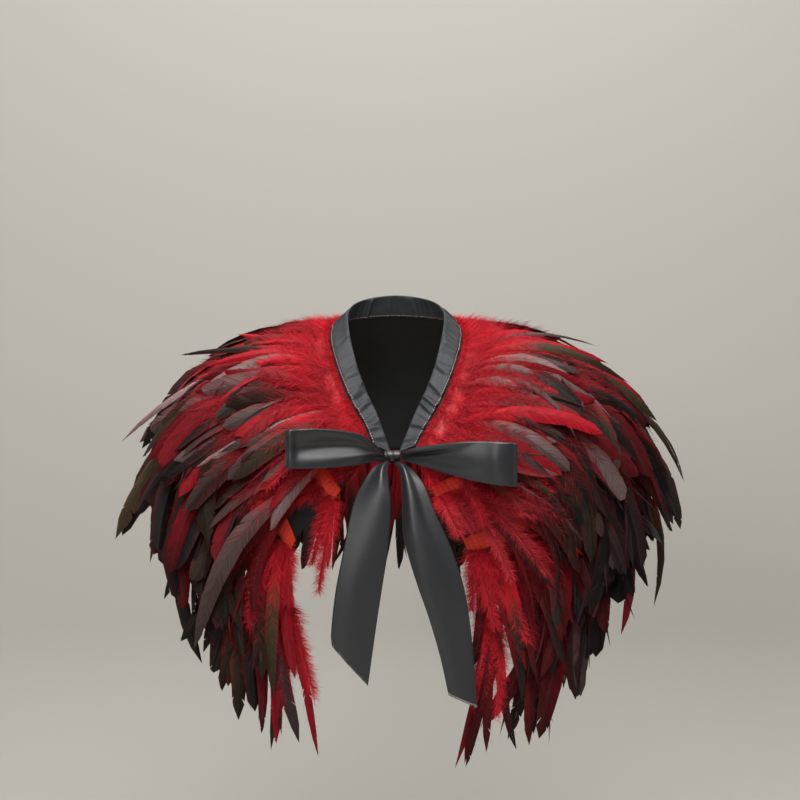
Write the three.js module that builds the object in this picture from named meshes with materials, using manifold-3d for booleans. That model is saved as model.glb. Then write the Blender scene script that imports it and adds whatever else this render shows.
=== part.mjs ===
// A short feather cape. A black base cloth carries four tiers of feathers, each sewn into a red
// tape. A satin ribbon is folded over the neck edge as a band, and its ends are tied in a bow with
// two long tails at the centre front. Below the bow the front edges part.
//
// Millimetres, +Z up. The front faces -Y, and +X is the wearer's left side. The origin is the
// middle of the neck opening at the height of the shoulders, where the wearer carries the cape.

import * as THREE from 'three';
import { mergeVertices } from 'three/addons/utils/BufferGeometryUtils.js';
import Module from 'manifold-3d';

const wasm = await Module();
wasm.setup();

// Driving sizes of the cloth and the ribbon
const CLOTH_WALL = 1.5;
const SEAM_GAP = 0.3;
const BAND_LEAF = 1.0; // one leaf of the folded neckband
const BAND_SLOT = 7.3; // how deep the base cloth's edge sits in the band
const BAND_FOLD_WALL = 2.2; // the band's thickness near its fold
const BAND_SWELL = { at: 0.55, wall: 1.24 }; // shares of the free width and of the fold's thickness
const BAND_ROUND = 0.8; // the fold's edge is rounded over this width
const LEAF_EDGE = 1.2; // the leaves stop this far short of the seam line
const LEAF_FLARE = 0.5; // and stand this much further off the cloth there
const EDGE_IN_BAND = 6.5; // the base cloth's margin inside the band
const BOW_WALL = 1.2;

// Driving sizes of the feather tiers
const TIER_PITCH = 60; // from one tape to the next, measured down the cloth
const TAPE_WIDTH = 18;
const TAPE_WALL = 1.5;
const ROOT_DEPTH = 0.6; // how far above the tape's underside a feather starts
const LAYER_PITCH = 3.3; // neighbouring feathers lie in three layers, this far apart
const LAYERS = [0, 2, 1];
const FIRST_DRAW = 11; // seed of the first tier's uneven lengths, widths and leans
const UNEVEN = { length: 0.1, width: 0.1, lean: 2.5 };
const PLUME_LAYER = 0.5; // the edge plumes lie between the row's lowest layers
const RULER_STEPS = 20; // a tape is measured in this many steps for a row
const SPREAD_BY = 20; // the layers have parted this far from the tape
const FEATHER_RIDGE = 2.0; // from a feather's underside to its ridge

// The base cloth, as lines down from the neck seam on a general figure. A row gives the band's
// folded edge, the neck seam, where the second, third and lowest tapes cross the line, and where
// the tips of the lowest feathers hang. Rise scales how far the feathers stand off the cloth, and
// length how long they are there.
const SIDE_ROWS = [
  { fold: [18, -71, -73], neck: [32, -79, -83], second: [78, -108, -126], third: [116, -108, -176],
    lowest: [138, -96, -232], tips: [146, -98, -372], rise: 0.74, length: 1 },
  { fold: [29, -52, -50], neck: [46, -64, -60], second: [105, -88, -80], third: [150, -90, -114],
    lowest: [182, -82, -160], tips: [204, -90, -305], rise: 0.82, length: 0.96 },
  { fold: [42, -34, -15], neck: [60, -38, -27], second: [118, -52, -37], third: [173, -58, -70],
    lowest: [205, -56, -118], tips: [232, -62, -265], rise: 0.95, length: 0.88 },
  { fold: [51, 4, 26], neck: [69, 4, 8], second: [124, 0, -13], third: [181, 0, -41],
    lowest: [214, 0, -92], tips: [240, 0, -238], rise: 1.0, length: 0.84 },
  { fold: [47, 28, 43], neck: [61, 36, 26], second: [116, 52, 4], third: [169, 64, -30],
    lowest: [203, 68, -88], tips: [231, 74, -240], rise: 0.95, length: 0.88 },
  { fold: [30, 46, 52], neck: [37, 55, 31], second: [76, 90, 4], third: [118, 108, -36],
    lowest: [148, 114, -96], tips: [170, 126, -252], rise: 0.85, length: 0.95 },
];
const BACK_ROW = { fold: [0, 54, 56], neck: [0, 63, 33], second: [0, 100, -4], third: [0, 120, -46],
  lowest: [0, 128, -104], tips: [0, 140, -262], rise: 0.8, length: 1 };
const LEFT_EDGE_ROW = { fold: [-4.5, -89.5, -110], neck: [-23, -91, -104], second: [-59, -112, -153],
  third: [-102, -103, -202], lowest: [-101, -92, -256], tips: [-90, -98, -400], rise: 0.7, length: 1 };
const RIGHT_EDGE_ROW = { fold: [2.5, -89.5, -110], neck: [20, -91, -104], second: [38, -112, -150],
  third: [69, -106, -201], lowest: [80, -98, -256], tips: [86, -100, -400], rise: 0.7, length: 1 };
const SIDE_REACH = { left: -0.975, right: 1.05 }; // the right side stands out further, as worn
const PLACES = ['neck', 'second', 'third', 'lowest', 'tips'];
const PLACE_AT = [0, 1, 2, 3, 5.5]; // in tier pitches down from the neck seam

// The four tiers. At is in tier pitches down from the neck seam. Length and width are a feather's,
// rise is its slope away from the cloth, from and to are how far the tape's end feathers stay from
// the left and right front edges, and trim is how much of the rows' shortening the tier takes.
const TIERS = [
  { name: 'feather_tier_1', finish: 'feather', at: 0.18, feathers: 42, length: 122, width: 23,
    rise: 0.32, from: 17, to: 17, trim: 1 },
  { name: 'feather_tier_2', finish: 'feather', at: 1, feathers: 54, length: 142, width: 25,
    rise: 0.31, from: 7, to: 9, trim: 0.3 },
  { name: 'feather_tier_3', finish: 'darkFeather', at: 2, feathers: 62, length: 150, width: 26,
    rise: 0.285, from: 7, to: 8, trim: 0.2 },
  { name: 'feather_tier_4', finish: 'darkFeather', at: 3, feathers: 68, length: 150, width: 26,
    rise: 0.18, from: 7, to: 8, trim: 1.6 },
];

// Plumes at the front edges that hang towards the middle: how far in from the tape's end they are
// sewn (mm), how they lean (degrees), and their length down the cloth and width as shares of the
// tier's.
const EDGE_PLUMES = [
  { tier: 'feather_tier_2', side: 'left', in: 3, lean: -56, length: 0.22, width: 0.7 },
  { tier: 'feather_tier_3', side: 'left', in: 2, lean: -20, length: 0.55, width: 0.7 },
  { tier: 'feather_tier_4', side: 'left', in: 2, lean: -7, length: 0.97, width: 0.45 },
  { tier: 'feather_tier_4', side: 'right', in: 2, lean: 10, length: 1.03, width: 0.4 },
];

// A feather's sections: how far along it, its width and its thickness as shares of the greatest.
const FEATHER_SECTIONS = [
  { along: 0, width: 0.16, ridge: 0.5 },
  { along: 0.13, width: 0.48, ridge: 0.7 },
  { along: 0.36, width: 0.92, ridge: 1 },
  { along: 0.66, width: 1, ridge: 1 },
  { along: 0.89, width: 0.66, ridge: 0.75 },
];

// The bow. The knot is a barrel round the X direction. A loop's rows run out from the knot and give
// its upper and lower edges (z) and its front and back walls (y). A tail's rows run down from the
// knot and give its two edges.
const KNOT = { centre: [-3, -96.8, -112.4], halfLength: 8.3, radius: 5.4, depth: 8, sides: 20 };
const KNOT_PROFILE = [0.86, 0.98, 0.9, 1, 0.92, 0.99, 0.84];
const LOOP_LEFT = [
  { x: -12.4, top: -108.6, bottom: -117.4, front: -102.5, back: -97 },
  { x: -24, top: -98, bottom: -118.5, front: -116, back: -106 },
  { x: -38, top: -90, bottom: -121, front: -128, back: -114 },
  { x: -70, top: -85.5, bottom: -123, front: -143, back: -130 },
  { x: -96, top: -86, bottom: -123, front: -151, back: -140 },
];
const LOOP_LEFT_FOLD = { x: -106, top: -87, bottom: -123, y: -147 };
const LOOP_RIGHT = [
  { x: 6.4, top: -108.6, bottom: -117.4, front: -102.5, back: -97 },
  { x: 20, top: -104, bottom: -120.5, front: -118, back: -109 },
  { x: 58, top: -98.5, bottom: -131, front: -142, back: -131 },
  { x: 85, top: -97.5, bottom: -137, front: -151, back: -140 },
  { x: 106, top: -98.5, bottom: -139.5, front: -155, back: -145 },
];
const LOOP_RIGHT_FOLD = { x: 116, top: -99, bottom: -140, y: -151 };
const TAIL_LEFT = [
  { left: [-11, -117.9], right: [-5, -118.3], y: -98.5 },
  { left: [-23, -125], right: [-8, -127], y: -113 },
  { left: [-37, -148], right: [-6, -143], y: -122 },
  { left: [-44, -170], right: [-4.5, -163], y: -128 },
  { left: [-51, -206], right: [-7, -200], y: -133 },
  { left: [-58, -243], right: [-12.6, -236], y: -135 },
  { left: [-62, -280], right: [-19, -278], y: -135 },
  { left: [-61.4, -294.5], right: [-26.6, -333], y: -134 },
];
const TAIL_RIGHT = [
  { left: [-3.4, -118.3], right: [4.6, -117.9], y: -98.5 },
  { left: [4.5, -130], right: [16.5, -126], y: -113 },
  { left: [6.5, -157], right: [28, -141], y: -122 },
  { left: [7.6, -189], right: [39, -168], y: -129 },
  { left: [13, -211], right: [53.6, -200], y: -133 },
  { left: [22, -239], right: [64.6, -233.6], y: -136 },
  { left: [31.5, -266], right: [70, -261], y: -136 },
  { left: [42.6, -304], right: [74.5, -300], y: -135 },
  { left: [50.8, -341.4], right: [78.4, -353.4], y: -135 },
];
const TAIL_BULGE = 3; // how far a tail's middle stands in front of its edges
const LOOP_BULGE = 2.5;
const RIBBON_ACROSS = [0, 0.25, 0.5, 0.75, 1]; // a bow ribbon's lines, as shares of its width
const LOOP_STEPS = 30;
const TAIL_STEPS = { left: 21, right: 24 };

// Finishes, as seen
const FINISHES = {
  cloth: { color: 0x121214, roughness: 0.85, metalness: 0 },
  satin: { color: 0x25272b, roughness: 0.35, metalness: 0 },
  feather: { color: 0x8f1020, roughness: 0.6, metalness: 0 },
  darkFeather: { color: 0x3a2624, roughness: 0.6, metalness: 0 },
};

// Rows round the whole cape, from the left front edge over the back to the right front edge

// A row of one side. The band and the neck seam are alike on both sides, the cloth reaches further
// out on the right.
function rowOfSide(row, side) {
  const copy = { ...row };
  for (const place of ['fold', ...PLACES]) {
    const share = place === 'fold' || place === 'neck' ? Math.sign(SIDE_REACH[side]) : SIDE_REACH[side];
    copy[place] = [row[place][0] * share, row[place][1], row[place][2]];
  }
  return copy;
}

const ROWS = [
  LEFT_EDGE_ROW,
  ...SIDE_ROWS.map((row) => rowOfSide(row, 'left')),
  BACK_ROW,
  ...[...SIDE_ROWS].reverse().map((row) => rowOfSide(row, 'right')),
  RIGHT_EDGE_ROW,
];
const LAST = ROWS.length - 1;
const SEAMS_AT = [4, LAST - 4]; // the shoulder seams run down these rows
const STEPS_PER_ROW = 3;

const vector = (list) => new THREE.Vector3(...list);
const mixed = (a, b, share) => a.clone().lerp(b, share);

// The slope at each place of a smooth curve through uneven stations
function slopes(points, at) {
  const pace = points.slice(1).map((p, i) => p.clone().sub(points[i]).divideScalar(at[i + 1] - at[i]));
  return points.map((p, i) => {
    if (i === 0) return pace[0].clone();
    if (i === points.length - 1) return pace[i - 1].clone();
    const before = at[i] - at[i - 1];
    const after = at[i + 1] - at[i];
    return mixed(pace[i - 1], pace[i], before / (before + after));
  });
}

// A smooth curve through points at the stations, straight past its ends
function smoothCurve(points, at) {
  const slope = slopes(points, at);
  return (s) => {
    let i = 0;
    while (i < at.length - 2 && s > at[i + 1]) i += 1;
    if (s > at[at.length - 1]) {
      return points[at.length - 1].clone().addScaledVector(slope[at.length - 1], s - at[at.length - 1]);
    }
    if (s < at[0]) return points[0].clone().addScaledVector(slope[0], s - at[0]);
    const span = at[i + 1] - at[i];
    const t = (s - at[i]) / span;
    const rest = 1 - t;
    return new THREE.Vector3()
      .addScaledVector(points[i], rest * rest * (1 + 2 * t))
      .addScaledVector(slope[i], rest * rest * t * span)
      .addScaledVector(points[i + 1], t * t * (3 - 2 * t))
      .addScaledVector(slope[i + 1], -t * t * rest * span);
  };
}

const DOWN_CURVES = ROWS.map((row) => smoothCurve(PLACES.map((place) => vector(row[place])), PLACE_AT));
const FOLDS = ROWS.map((row) => vector(row.fold));
const NECKS = ROWS.map((row) => vector(row.neck));

// Blends the rows' values at u, smoothly for points between rows
function acrossRows(u, valueOfRow) {
  const i = Math.min(Math.max(Math.floor(u), 0), LAST - 1);
  const t = u - i;
  const p1 = valueOfRow(i);
  const p2 = valueOfRow(i + 1);
  const p0 = i > 0 ? valueOfRow(i - 1) : p1.clone().multiplyScalar(2).sub(p2);
  const p3 = i + 2 <= LAST ? valueOfRow(i + 2) : p2.clone().multiplyScalar(2).sub(p1);
  if (t < 0) return p1.clone().addScaledVector(p2.clone().sub(p0), t / 2);
  if (t > 1) return p2.clone().addScaledVector(p3.clone().sub(p1), (t - 1) / 2);
  return new THREE.Vector3()
    .addScaledVector(p0, (-t + 2 * t * t - t * t * t) / 2)
    .addScaledVector(p1, (2 - 5 * t * t + 3 * t * t * t) / 2)
    .addScaledVector(p2, (t + 4 * t * t - 3 * t * t * t) / 2)
    .addScaledVector(p3, (-t * t + t * t * t) / 2);
}

// From the neck seam towards the band's folded edge
const bandVector = (u) => acrossRows(u, (i) => FOLDS[i]).sub(acrossRows(u, (i) => NECKS[i]));

// A point of the cloth's outer face: u counts rows, s counts tier pitches down from the neck seam.
// Above the seam the cloth's margin lies along the band.
function smoothPoint(u, s) {
  if (s >= 0) return acrossRows(u, (i) => DOWN_CURVES[i](s));
  const inward = bandVector(u).normalize();
  return acrossRows(u, (i) => NECKS[i]).addScaledVector(inward, -s * TIER_PITCH);
}

// The same between the stitched stations, straight from one to the next, as panels and tapes are
function clothPoint(u, s) {
  const station = Math.floor(u * STEPS_PER_ROW) / STEPS_PER_ROW;
  const share = (u - station) * STEPS_PER_ROW;
  return mixed(smoothPoint(station, s), smoothPoint(station + 1 / STEPS_PER_ROW, s), share);
}

// The way round the cape at a place, for one row, and the directions out of the cloth and the band
const NEAR = 0.05;
const roundAt = (u, s) => smoothPoint(u + NEAR, s).sub(smoothPoint(u - NEAR, s)).divideScalar(2 * NEAR);

function outward(u, s) {
  const down = smoothPoint(u, s + NEAR).sub(smoothPoint(u, Math.max(s - NEAR, 0)));
  return roundAt(u, s).cross(down).normalize();
}

const outwardOnBand = (u) => roundAt(u, 0).cross(bandVector(u).negate()).normalize();

const shareAt = (u, name) => acrossRows(u, (i) => new THREE.Vector3(ROWS[i][name], 0, 0)).x;
const raised = (point, normal, height) => point.clone().addScaledVector(normal, height);

// Closed bodies from rings of points

function geometryOf(points, triangles) {
  const geometry = new THREE.BufferGeometry();
  const numbers = points.flatMap((p) => [p.x, p.y, p.z]);
  geometry.setAttribute('position', new THREE.Float32BufferAttribute(numbers, 3));
  geometry.setIndex(triangles);
  return geometry;
}

// Rings with the same number of points, joined in turn. Caps are the triangles of the end faces.
function loft(rings, caps) {
  const count = rings[0].length;
  const triangles = [];
  for (let i = 0; i < rings.length - 1; i += 1) {
    for (let j = 0; j < count; j += 1) {
      const a = i * count + j;
      const b = i * count + ((j + 1) % count);
      triangles.push(a, b, b + count, a, b + count, a + count);
    }
  }
  const last = (rings.length - 1) * count;
  for (const [a, b, c] of caps) {
    triangles.push(a, c, b);
    triangles.push(last + a, last + b, last + c);
  }
  return geometryOf(rings.flat(), triangles);
}

// A wall of cloth: point(i, j) gives its outer face on a grid, and back(i, j) its inner face
function wall(columns, lines, point, back) {
  const front = [];
  const behind = [];
  for (let i = 0; i < columns; i += 1) {
    for (let j = 0; j < lines; j += 1) {
      front.push(point(i, j));
      behind.push(back(i, j));
    }
  }
  const inner = columns * lines;
  const triangles = [];
  for (let i = 0; i < columns - 1; i += 1) {
    for (let j = 0; j < lines - 1; j += 1) {
      const a = i * lines + j;
      const b = a + lines;
      triangles.push(a, b, b + 1, a, b + 1, a + 1);
      triangles.push(inner + a, inner + b + 1, inner + b, inner + a, inner + a + 1, inner + b + 1);
    }
  }
  const rim = [];
  for (let i = 0; i < columns - 1; i += 1) rim.push(i * lines);
  for (let j = 0; j < lines - 1; j += 1) rim.push((columns - 1) * lines + j);
  for (let i = columns - 1; i > 0; i -= 1) rim.push(i * lines + lines - 1);
  for (let j = lines - 1; j > 0; j -= 1) rim.push(j);
  rim.forEach((a, k) => {
    const b = rim[(k + 1) % rim.length];
    triangles.push(b, a, inner + a, b, inner + a, inner + b);
  });
  return geometryOf([...front, ...behind], triangles);
}

// Joining with manifold

function solidOf(geometry) {
  const bare = geometry.clone();
  bare.deleteAttribute('normal');
  bare.deleteAttribute('uv');
  const merged = mergeVertices(bare, 1e-4);
  return new wasm.Manifold(new wasm.Mesh({
    numProp: 3,
    vertProperties: new Float32Array(merged.attributes.position.array),
    triVerts: new Uint32Array(merged.index.array),
  }));
}

function geometryFrom(solid) {
  const mesh = solid.getMesh();
  const geometry = new THREE.BufferGeometry();
  geometry.setAttribute('position', new THREE.BufferAttribute(new Float32Array(mesh.vertProperties), 3));
  geometry.setIndex(new THREE.BufferAttribute(new Uint32Array(mesh.triVerts), 1));
  return geometry;
}

const cape = new THREE.Group();

function addPiece(name, geometry, finish) {
  const mesh = new THREE.Mesh(geometry, new THREE.MeshStandardMaterial(FINISHES[finish]));
  mesh.name = name;
  cape.add(mesh);
}

// The base cloth: two fronts and a back, parted at the shoulder seams

const halfTape = TAPE_WIDTH / 2 / TIER_PITCH;
const CLOTH_LINES = [-EDGE_IN_BAND / TIER_PITCH, 0];
TIERS.forEach((tier, k) => {
  CLOTH_LINES.push(tier.at - halfTape, tier.at + halfTape);
  if (k < TIERS.length - 1) CLOTH_LINES.push((tier.at + TIERS[k + 1].at) / 2);
});

function stationsBetween(from, to) {
  const count = Math.round((to - from) * STEPS_PER_ROW);
  return [...Array(count + 1).keys()].map((i) => from + i / STEPS_PER_ROW);
}

function basePanel(from, to) {
  const columns = stationsBetween(from, to);
  const shifted = (i, j) => {
    const u = columns[i];
    const seam = SEAMS_AT.includes(u) ? SEAM_GAP / 2 : 0;
    const round = roundAt(u, CLOTH_LINES[j]).normalize();
    return smoothPoint(u, CLOTH_LINES[j]).addScaledVector(round, i === 0 ? seam : -seam);
  };
  const normal = (i, j) => {
    const [u, s] = [columns[i], CLOTH_LINES[j]];
    return s <= 0 ? outwardOnBand(u) : outward(u, s);
  };
  const inside = (i, j) => raised(shifted(i, j), normal(i, j), -CLOTH_WALL);
  return wall(columns.length, CLOTH_LINES.length, shifted, inside);
}

addPiece('base_front_left', basePanel(0, SEAMS_AT[0]), 'cloth');
addPiece('base_back', basePanel(SEAMS_AT[0], SEAMS_AT[1]), 'cloth');
addPiece('base_front_right', basePanel(SEAMS_AT[1], LAST), 'cloth');

// The neckband: a ribbon folded over the neck edge, with the cloth's edge in its slot

function bandRing(u) {
  const inward = bandVector(u);
  const width = inward.length();
  inward.normalize();
  const seam = smoothPoint(u, 0);
  const normal = outwardOnBand(u);
  const slotTop = SEAM_GAP;
  const slotFloor = -CLOTH_WALL - SEAM_GAP;
  const middle = -CLOTH_WALL / 2;
  const swollen = BAND_SLOT + (width - BAND_SLOT) * BAND_SWELL.at;
  const half = BAND_FOLD_WALL / 2;
  const profile = [
    [LEAF_EDGE, slotTop + BAND_LEAF + LEAF_FLARE],
    [BAND_SLOT, slotTop + BAND_LEAF],
    [swollen, middle + half * BAND_SWELL.wall],
    [width - BAND_ROUND, middle + half],
    [width, middle],
    [width - BAND_ROUND, middle - half],
    [swollen, middle - half * BAND_SWELL.wall],
    [BAND_SLOT, slotFloor - BAND_LEAF],
    [LEAF_EDGE, slotFloor - BAND_LEAF - LEAF_FLARE],
    [LEAF_EDGE, slotFloor - LEAF_FLARE],
    [BAND_SLOT, slotFloor],
    [BAND_SLOT, slotTop],
    [LEAF_EDGE, slotTop + LEAF_FLARE],
  ];
  return profile.map(([a, b]) => seam.clone().addScaledVector(inward, a).addScaledVector(normal, b));
}

// The end faces of the band, round its slot
const BAND_CAPS = [
  [0, 1, 11], [0, 11, 12], [1, 2, 6], [1, 6, 7], [2, 3, 5], [2, 5, 6], [3, 4, 5],
  [1, 7, 10], [1, 10, 11], [7, 8, 9], [7, 9, 10],
];

addPiece('neckband', loft(stationsBetween(0, LAST).map(bandRing), BAND_CAPS), 'satin');

// The feather tiers

// A repeatable draw between -1 and 1
function drawer(seed) {
  let state = seed;
  return () => {
    state = (state * 1664525 + 1013904223) % 4294967296;
    return (state / 4294967296) * 2 - 1;
  };
}

// A ruler along a tape: gives u for a length in mm from the left front edge
function rulerAlong(tier) {
  const steps = LAST * RULER_STEPS;
  const lengths = [0];
  for (let i = 1; i <= steps; i += 1) {
    const a = smoothPoint(((i - 1) * LAST) / steps, tier.at);
    const b = smoothPoint((i * LAST) / steps, tier.at);
    lengths.push(lengths[i - 1] + a.distanceTo(b));
  }
  const place = (wanted) => {
    const i = lengths.findIndex((length) => length >= wanted);
    const share = (wanted - lengths[i - 1]) / (lengths[i] - lengths[i - 1]);
    return ((i - 1 + share) * LAST) / steps;
  };
  return { whole: lengths[steps], place };
}

const tierLength = (tier, u) => tier.length * (1 - (1 - shareAt(u, 'length')) * tier.trim);

// A blade of three sides that leaves the tape, rises off the cloth and tapers to its tip
function feather(tier, u, layer, size) {
  const ring = (along, widthShare, ridgeShare) => {
    const down = along * size.length * tierLength(tier, u);
    const s = tier.at + down / TIER_PITCH;
    const here = u + (Math.tan(size.lean) * down) / roundAt(u, s).length();
    const normal = outward(here, s);
    const parted = Math.min(down / SPREAD_BY, 1) * layer * LAYER_PITCH;
    const height = SEAM_GAP + ROOT_DEPTH + tier.rise * shareAt(here, 'rise') * down + parted;
    const centre = raised(clothPoint(here, s), normal, height);
    const round = roundAt(here, s).normalize();
    const half = (tier.width * size.width * widthShare) / 2;
    return [
      centre.clone().addScaledVector(round, -half),
      centre.clone().addScaledVector(round, half),
      raised(centre, normal, FEATHER_RIDGE * ridgeShare),
    ];
  };
  const rings = FEATHER_SECTIONS.map((section) => ring(section.along, section.width, section.ridge));
  const tip = ring(1, 0, 0.3)[2];
  const points = [...rings.flat(), tip];
  const triangles = [0, 1, 2];
  for (let i = 0; i < rings.length - 1; i += 1) {
    for (let j = 0; j < 3; j += 1) {
      const a = i * 3 + j;
      const b = i * 3 + ((j + 1) % 3);
      triangles.push(a, b + 3, b, a, a + 3, b + 3);
    }
  }
  const last = (rings.length - 1) * 3;
  for (let j = 0; j < 3; j += 1) {
    triangles.push(last + j, points.length - 1, last + ((j + 1) % 3));
  }
  return geometryOf(points, triangles);
}

function tape(tier) {
  const lines = [tier.at - halfTape, tier.at + halfTape];
  const columns = stationsBetween(0, LAST);
  const at = (height) => (i, j) => {
    const [u, s] = [columns[i], lines[j]];
    return raised(smoothPoint(u, s), outward(u, s), height);
  };
  return wall(columns.length, lines.length, at(SEAM_GAP + TAPE_WALL), at(SEAM_GAP));
}

function featherTier(tier, seed) {
  const draw = drawer(seed);
  const ruler = rulerAlong(tier);
  const spacing = (ruler.whole - tier.from - tier.to) / (tier.feathers - 1);
  let solid = solidOf(tape(tier));
  for (let k = 0; k < tier.feathers; k += 1) {
    const size = {
      length: 1 + UNEVEN.length * draw(),
      width: 1 + UNEVEN.width * draw(),
      lean: THREE.MathUtils.degToRad(UNEVEN.lean * draw()),
    };
    const u = ruler.place(tier.from + k * spacing);
    solid = solid.add(solidOf(feather(tier, u, LAYERS[k % LAYERS.length], size)));
  }
  for (const plume of EDGE_PLUMES.filter((each) => each.tier === tier.name)) {
    const size = { ...plume, lean: THREE.MathUtils.degToRad(plume.lean) };
    const u = ruler.place(plume.side === 'left' ? plume.in : ruler.whole - plume.in);
    solid = solid.add(solidOf(feather(tier, u, PLUME_LAYER, size)));
  }
  return geometryFrom(solid);
}

TIERS.forEach((tier, k) => {
  addPiece(tier.name, featherTier(tier, FIRST_DRAW + k), tier.finish);
});

// The bow

function knot() {
  const count = KNOT_PROFILE.length;
  const side = (i) => -KNOT.halfLength + (2 * KNOT.halfLength * i) / (count - 1);
  const profile = KNOT_PROFILE.map((share, i) => new THREE.Vector2(KNOT.radius * share, side(i)));
  profile.unshift(new THREE.Vector2(0, side(0)));
  profile.push(new THREE.Vector2(0, side(count - 1)));
  const barrel = new THREE.LatheGeometry(profile, KNOT.sides);
  barrel.rotateZ(-Math.PI / 2);
  barrel.scale(1, KNOT.depth / KNOT.radius, 1);
  barrel.translate(...KNOT.centre);
  return geometryFrom(solidOf(barrel));
}

// A ribbon between two edge curves, with its middle standing out by a bulge
function ribbon(edgeA, edgeB, stations, bulge) {
  const place = (t, v) => mixed(edgeA(t), edgeB(t), v);
  const normal = (t, v) => {
    const along = place(t + NEAR, v).sub(place(t - NEAR, v));
    return along.cross(edgeB(t).sub(edgeA(t))).normalize();
  };
  const face = (i, j) => {
    const t = stations[i];
    const v = RIBBON_ACROSS[j];
    return raised(place(t, v), normal(t, v), bulge(t) * Math.sin(Math.PI * v));
  };
  const back = (i, j) => raised(face(i, j), normal(stations[i], RIBBON_ACROSS[j]), -BOW_WALL);
  return wall(stations.length, RIBBON_ACROSS.length, face, back);
}

const evenly = (last, steps) => [...Array(steps + 1).keys()].map((i) => (i * last) / steps);

// Rows out along the front wall, round the fold, and back along the back wall
function loop(rows, fold) {
  const upper = [];
  const lower = [];
  for (const row of rows) {
    upper.push(new THREE.Vector3(row.x, row.front, row.top));
    lower.push(new THREE.Vector3(row.x, row.front, row.bottom));
  }
  upper.push(new THREE.Vector3(fold.x, fold.y, fold.top));
  lower.push(new THREE.Vector3(fold.x, fold.y, fold.bottom));
  for (const row of [...rows].reverse()) {
    upper.push(new THREE.Vector3(row.x, row.back, row.top));
    lower.push(new THREE.Vector3(row.x, row.back, row.bottom));
  }
  const at = upper.map((_, i) => i);
  const last = at.length - 1;
  const stations = evenly(last, LOOP_STEPS);
  const bulge = (t) => LOOP_BULGE * Math.sin((Math.PI * Math.min(t, last - t)) / (last / 2)) ** 2;
  const [first, second] = fold.x < 0 ? [lower, upper] : [upper, lower];
  return ribbon(smoothCurve(first, at), smoothCurve(second, at), stations, bulge);
}

function tail(rows, steps) {
  const at = rows.map((_, i) => i);
  const place = (row, side) => new THREE.Vector3(row[side][0], row.y, row[side][1]);
  const edge = (side) => smoothCurve(rows.map((row) => place(row, side)), at);
  const last = at.length - 1;
  const bulge = (t) => TAIL_BULGE * Math.min(t, 1);
  return ribbon(edge('left'), edge('right'), evenly(last, steps), bulge);
}

addPiece('bow_knot', knot(), 'satin');
addPiece('bow_loop_left', loop(LOOP_LEFT, LOOP_LEFT_FOLD), 'satin');
addPiece('bow_loop_right', loop(LOOP_RIGHT, LOOP_RIGHT_FOLD), 'satin');
addPiece('bow_tail_left', tail(TAIL_LEFT, TAIL_STEPS.left), 'satin');
addPiece('bow_tail_right', tail(TAIL_RIGHT, TAIL_STEPS.right), 'satin');

export default cape;
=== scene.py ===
# A short feather cape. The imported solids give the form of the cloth, the neckband, the bow and the
# four tiers. This script dresses them: feathers with parted barbs and down, stitched tapes, thin
# satin and cloth. Sizes are in millimetres where a name ends in _MM, and in metres elsewhere.

import bpy
import numpy as np
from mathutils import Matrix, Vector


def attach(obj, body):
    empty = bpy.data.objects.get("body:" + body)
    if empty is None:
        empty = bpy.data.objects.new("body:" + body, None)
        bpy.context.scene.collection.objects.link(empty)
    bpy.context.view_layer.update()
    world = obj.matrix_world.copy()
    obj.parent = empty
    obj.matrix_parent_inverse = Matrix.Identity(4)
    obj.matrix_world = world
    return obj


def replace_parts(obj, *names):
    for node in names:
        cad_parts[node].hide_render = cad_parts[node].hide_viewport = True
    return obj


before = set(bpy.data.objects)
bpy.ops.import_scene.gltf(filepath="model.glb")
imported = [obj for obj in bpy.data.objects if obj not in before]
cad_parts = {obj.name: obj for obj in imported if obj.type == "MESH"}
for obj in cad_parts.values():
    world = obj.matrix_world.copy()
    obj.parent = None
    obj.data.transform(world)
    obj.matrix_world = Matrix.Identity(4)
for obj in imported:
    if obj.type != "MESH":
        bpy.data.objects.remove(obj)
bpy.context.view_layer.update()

MM = 0.001

def add_object(name, data):
    """An object made of some data, in the scene."""
    made = bpy.data.objects.new(name, data)
    bpy.context.scene.collection.objects.link(made)
    return made


# Camera: level with the chest, straight in front, with the photograph's field of view

CAMERA_AT = (0.0042, -1.6, -0.05775)
PIXEL_MM = 1.05  # what one of the 800 pixels covers at the shoulders
SENSOR_MM = 36
PICTURE = 800

camera_data = bpy.data.cameras.new("camera")
camera_data.sensor_width = SENSOR_MM
camera_data.lens = SENSOR_MM * -CAMERA_AT[1] / (PICTURE * PIXEL_MM * MM)
camera = add_object("camera", camera_data)
camera.location = CAMERA_AT
camera.rotation_euler = (np.pi / 2, 0, 0)
bpy.context.scene.camera = camera

# The form of the cloth: lines down from the neck seam. Each row gives, in millimetres, the band's
# folded edge, the neck seam, where the second, third and lowest tapes cross the line and where the
# tips of the lowest feathers hang, then how far the feathers stand off and how long they are.

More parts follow.
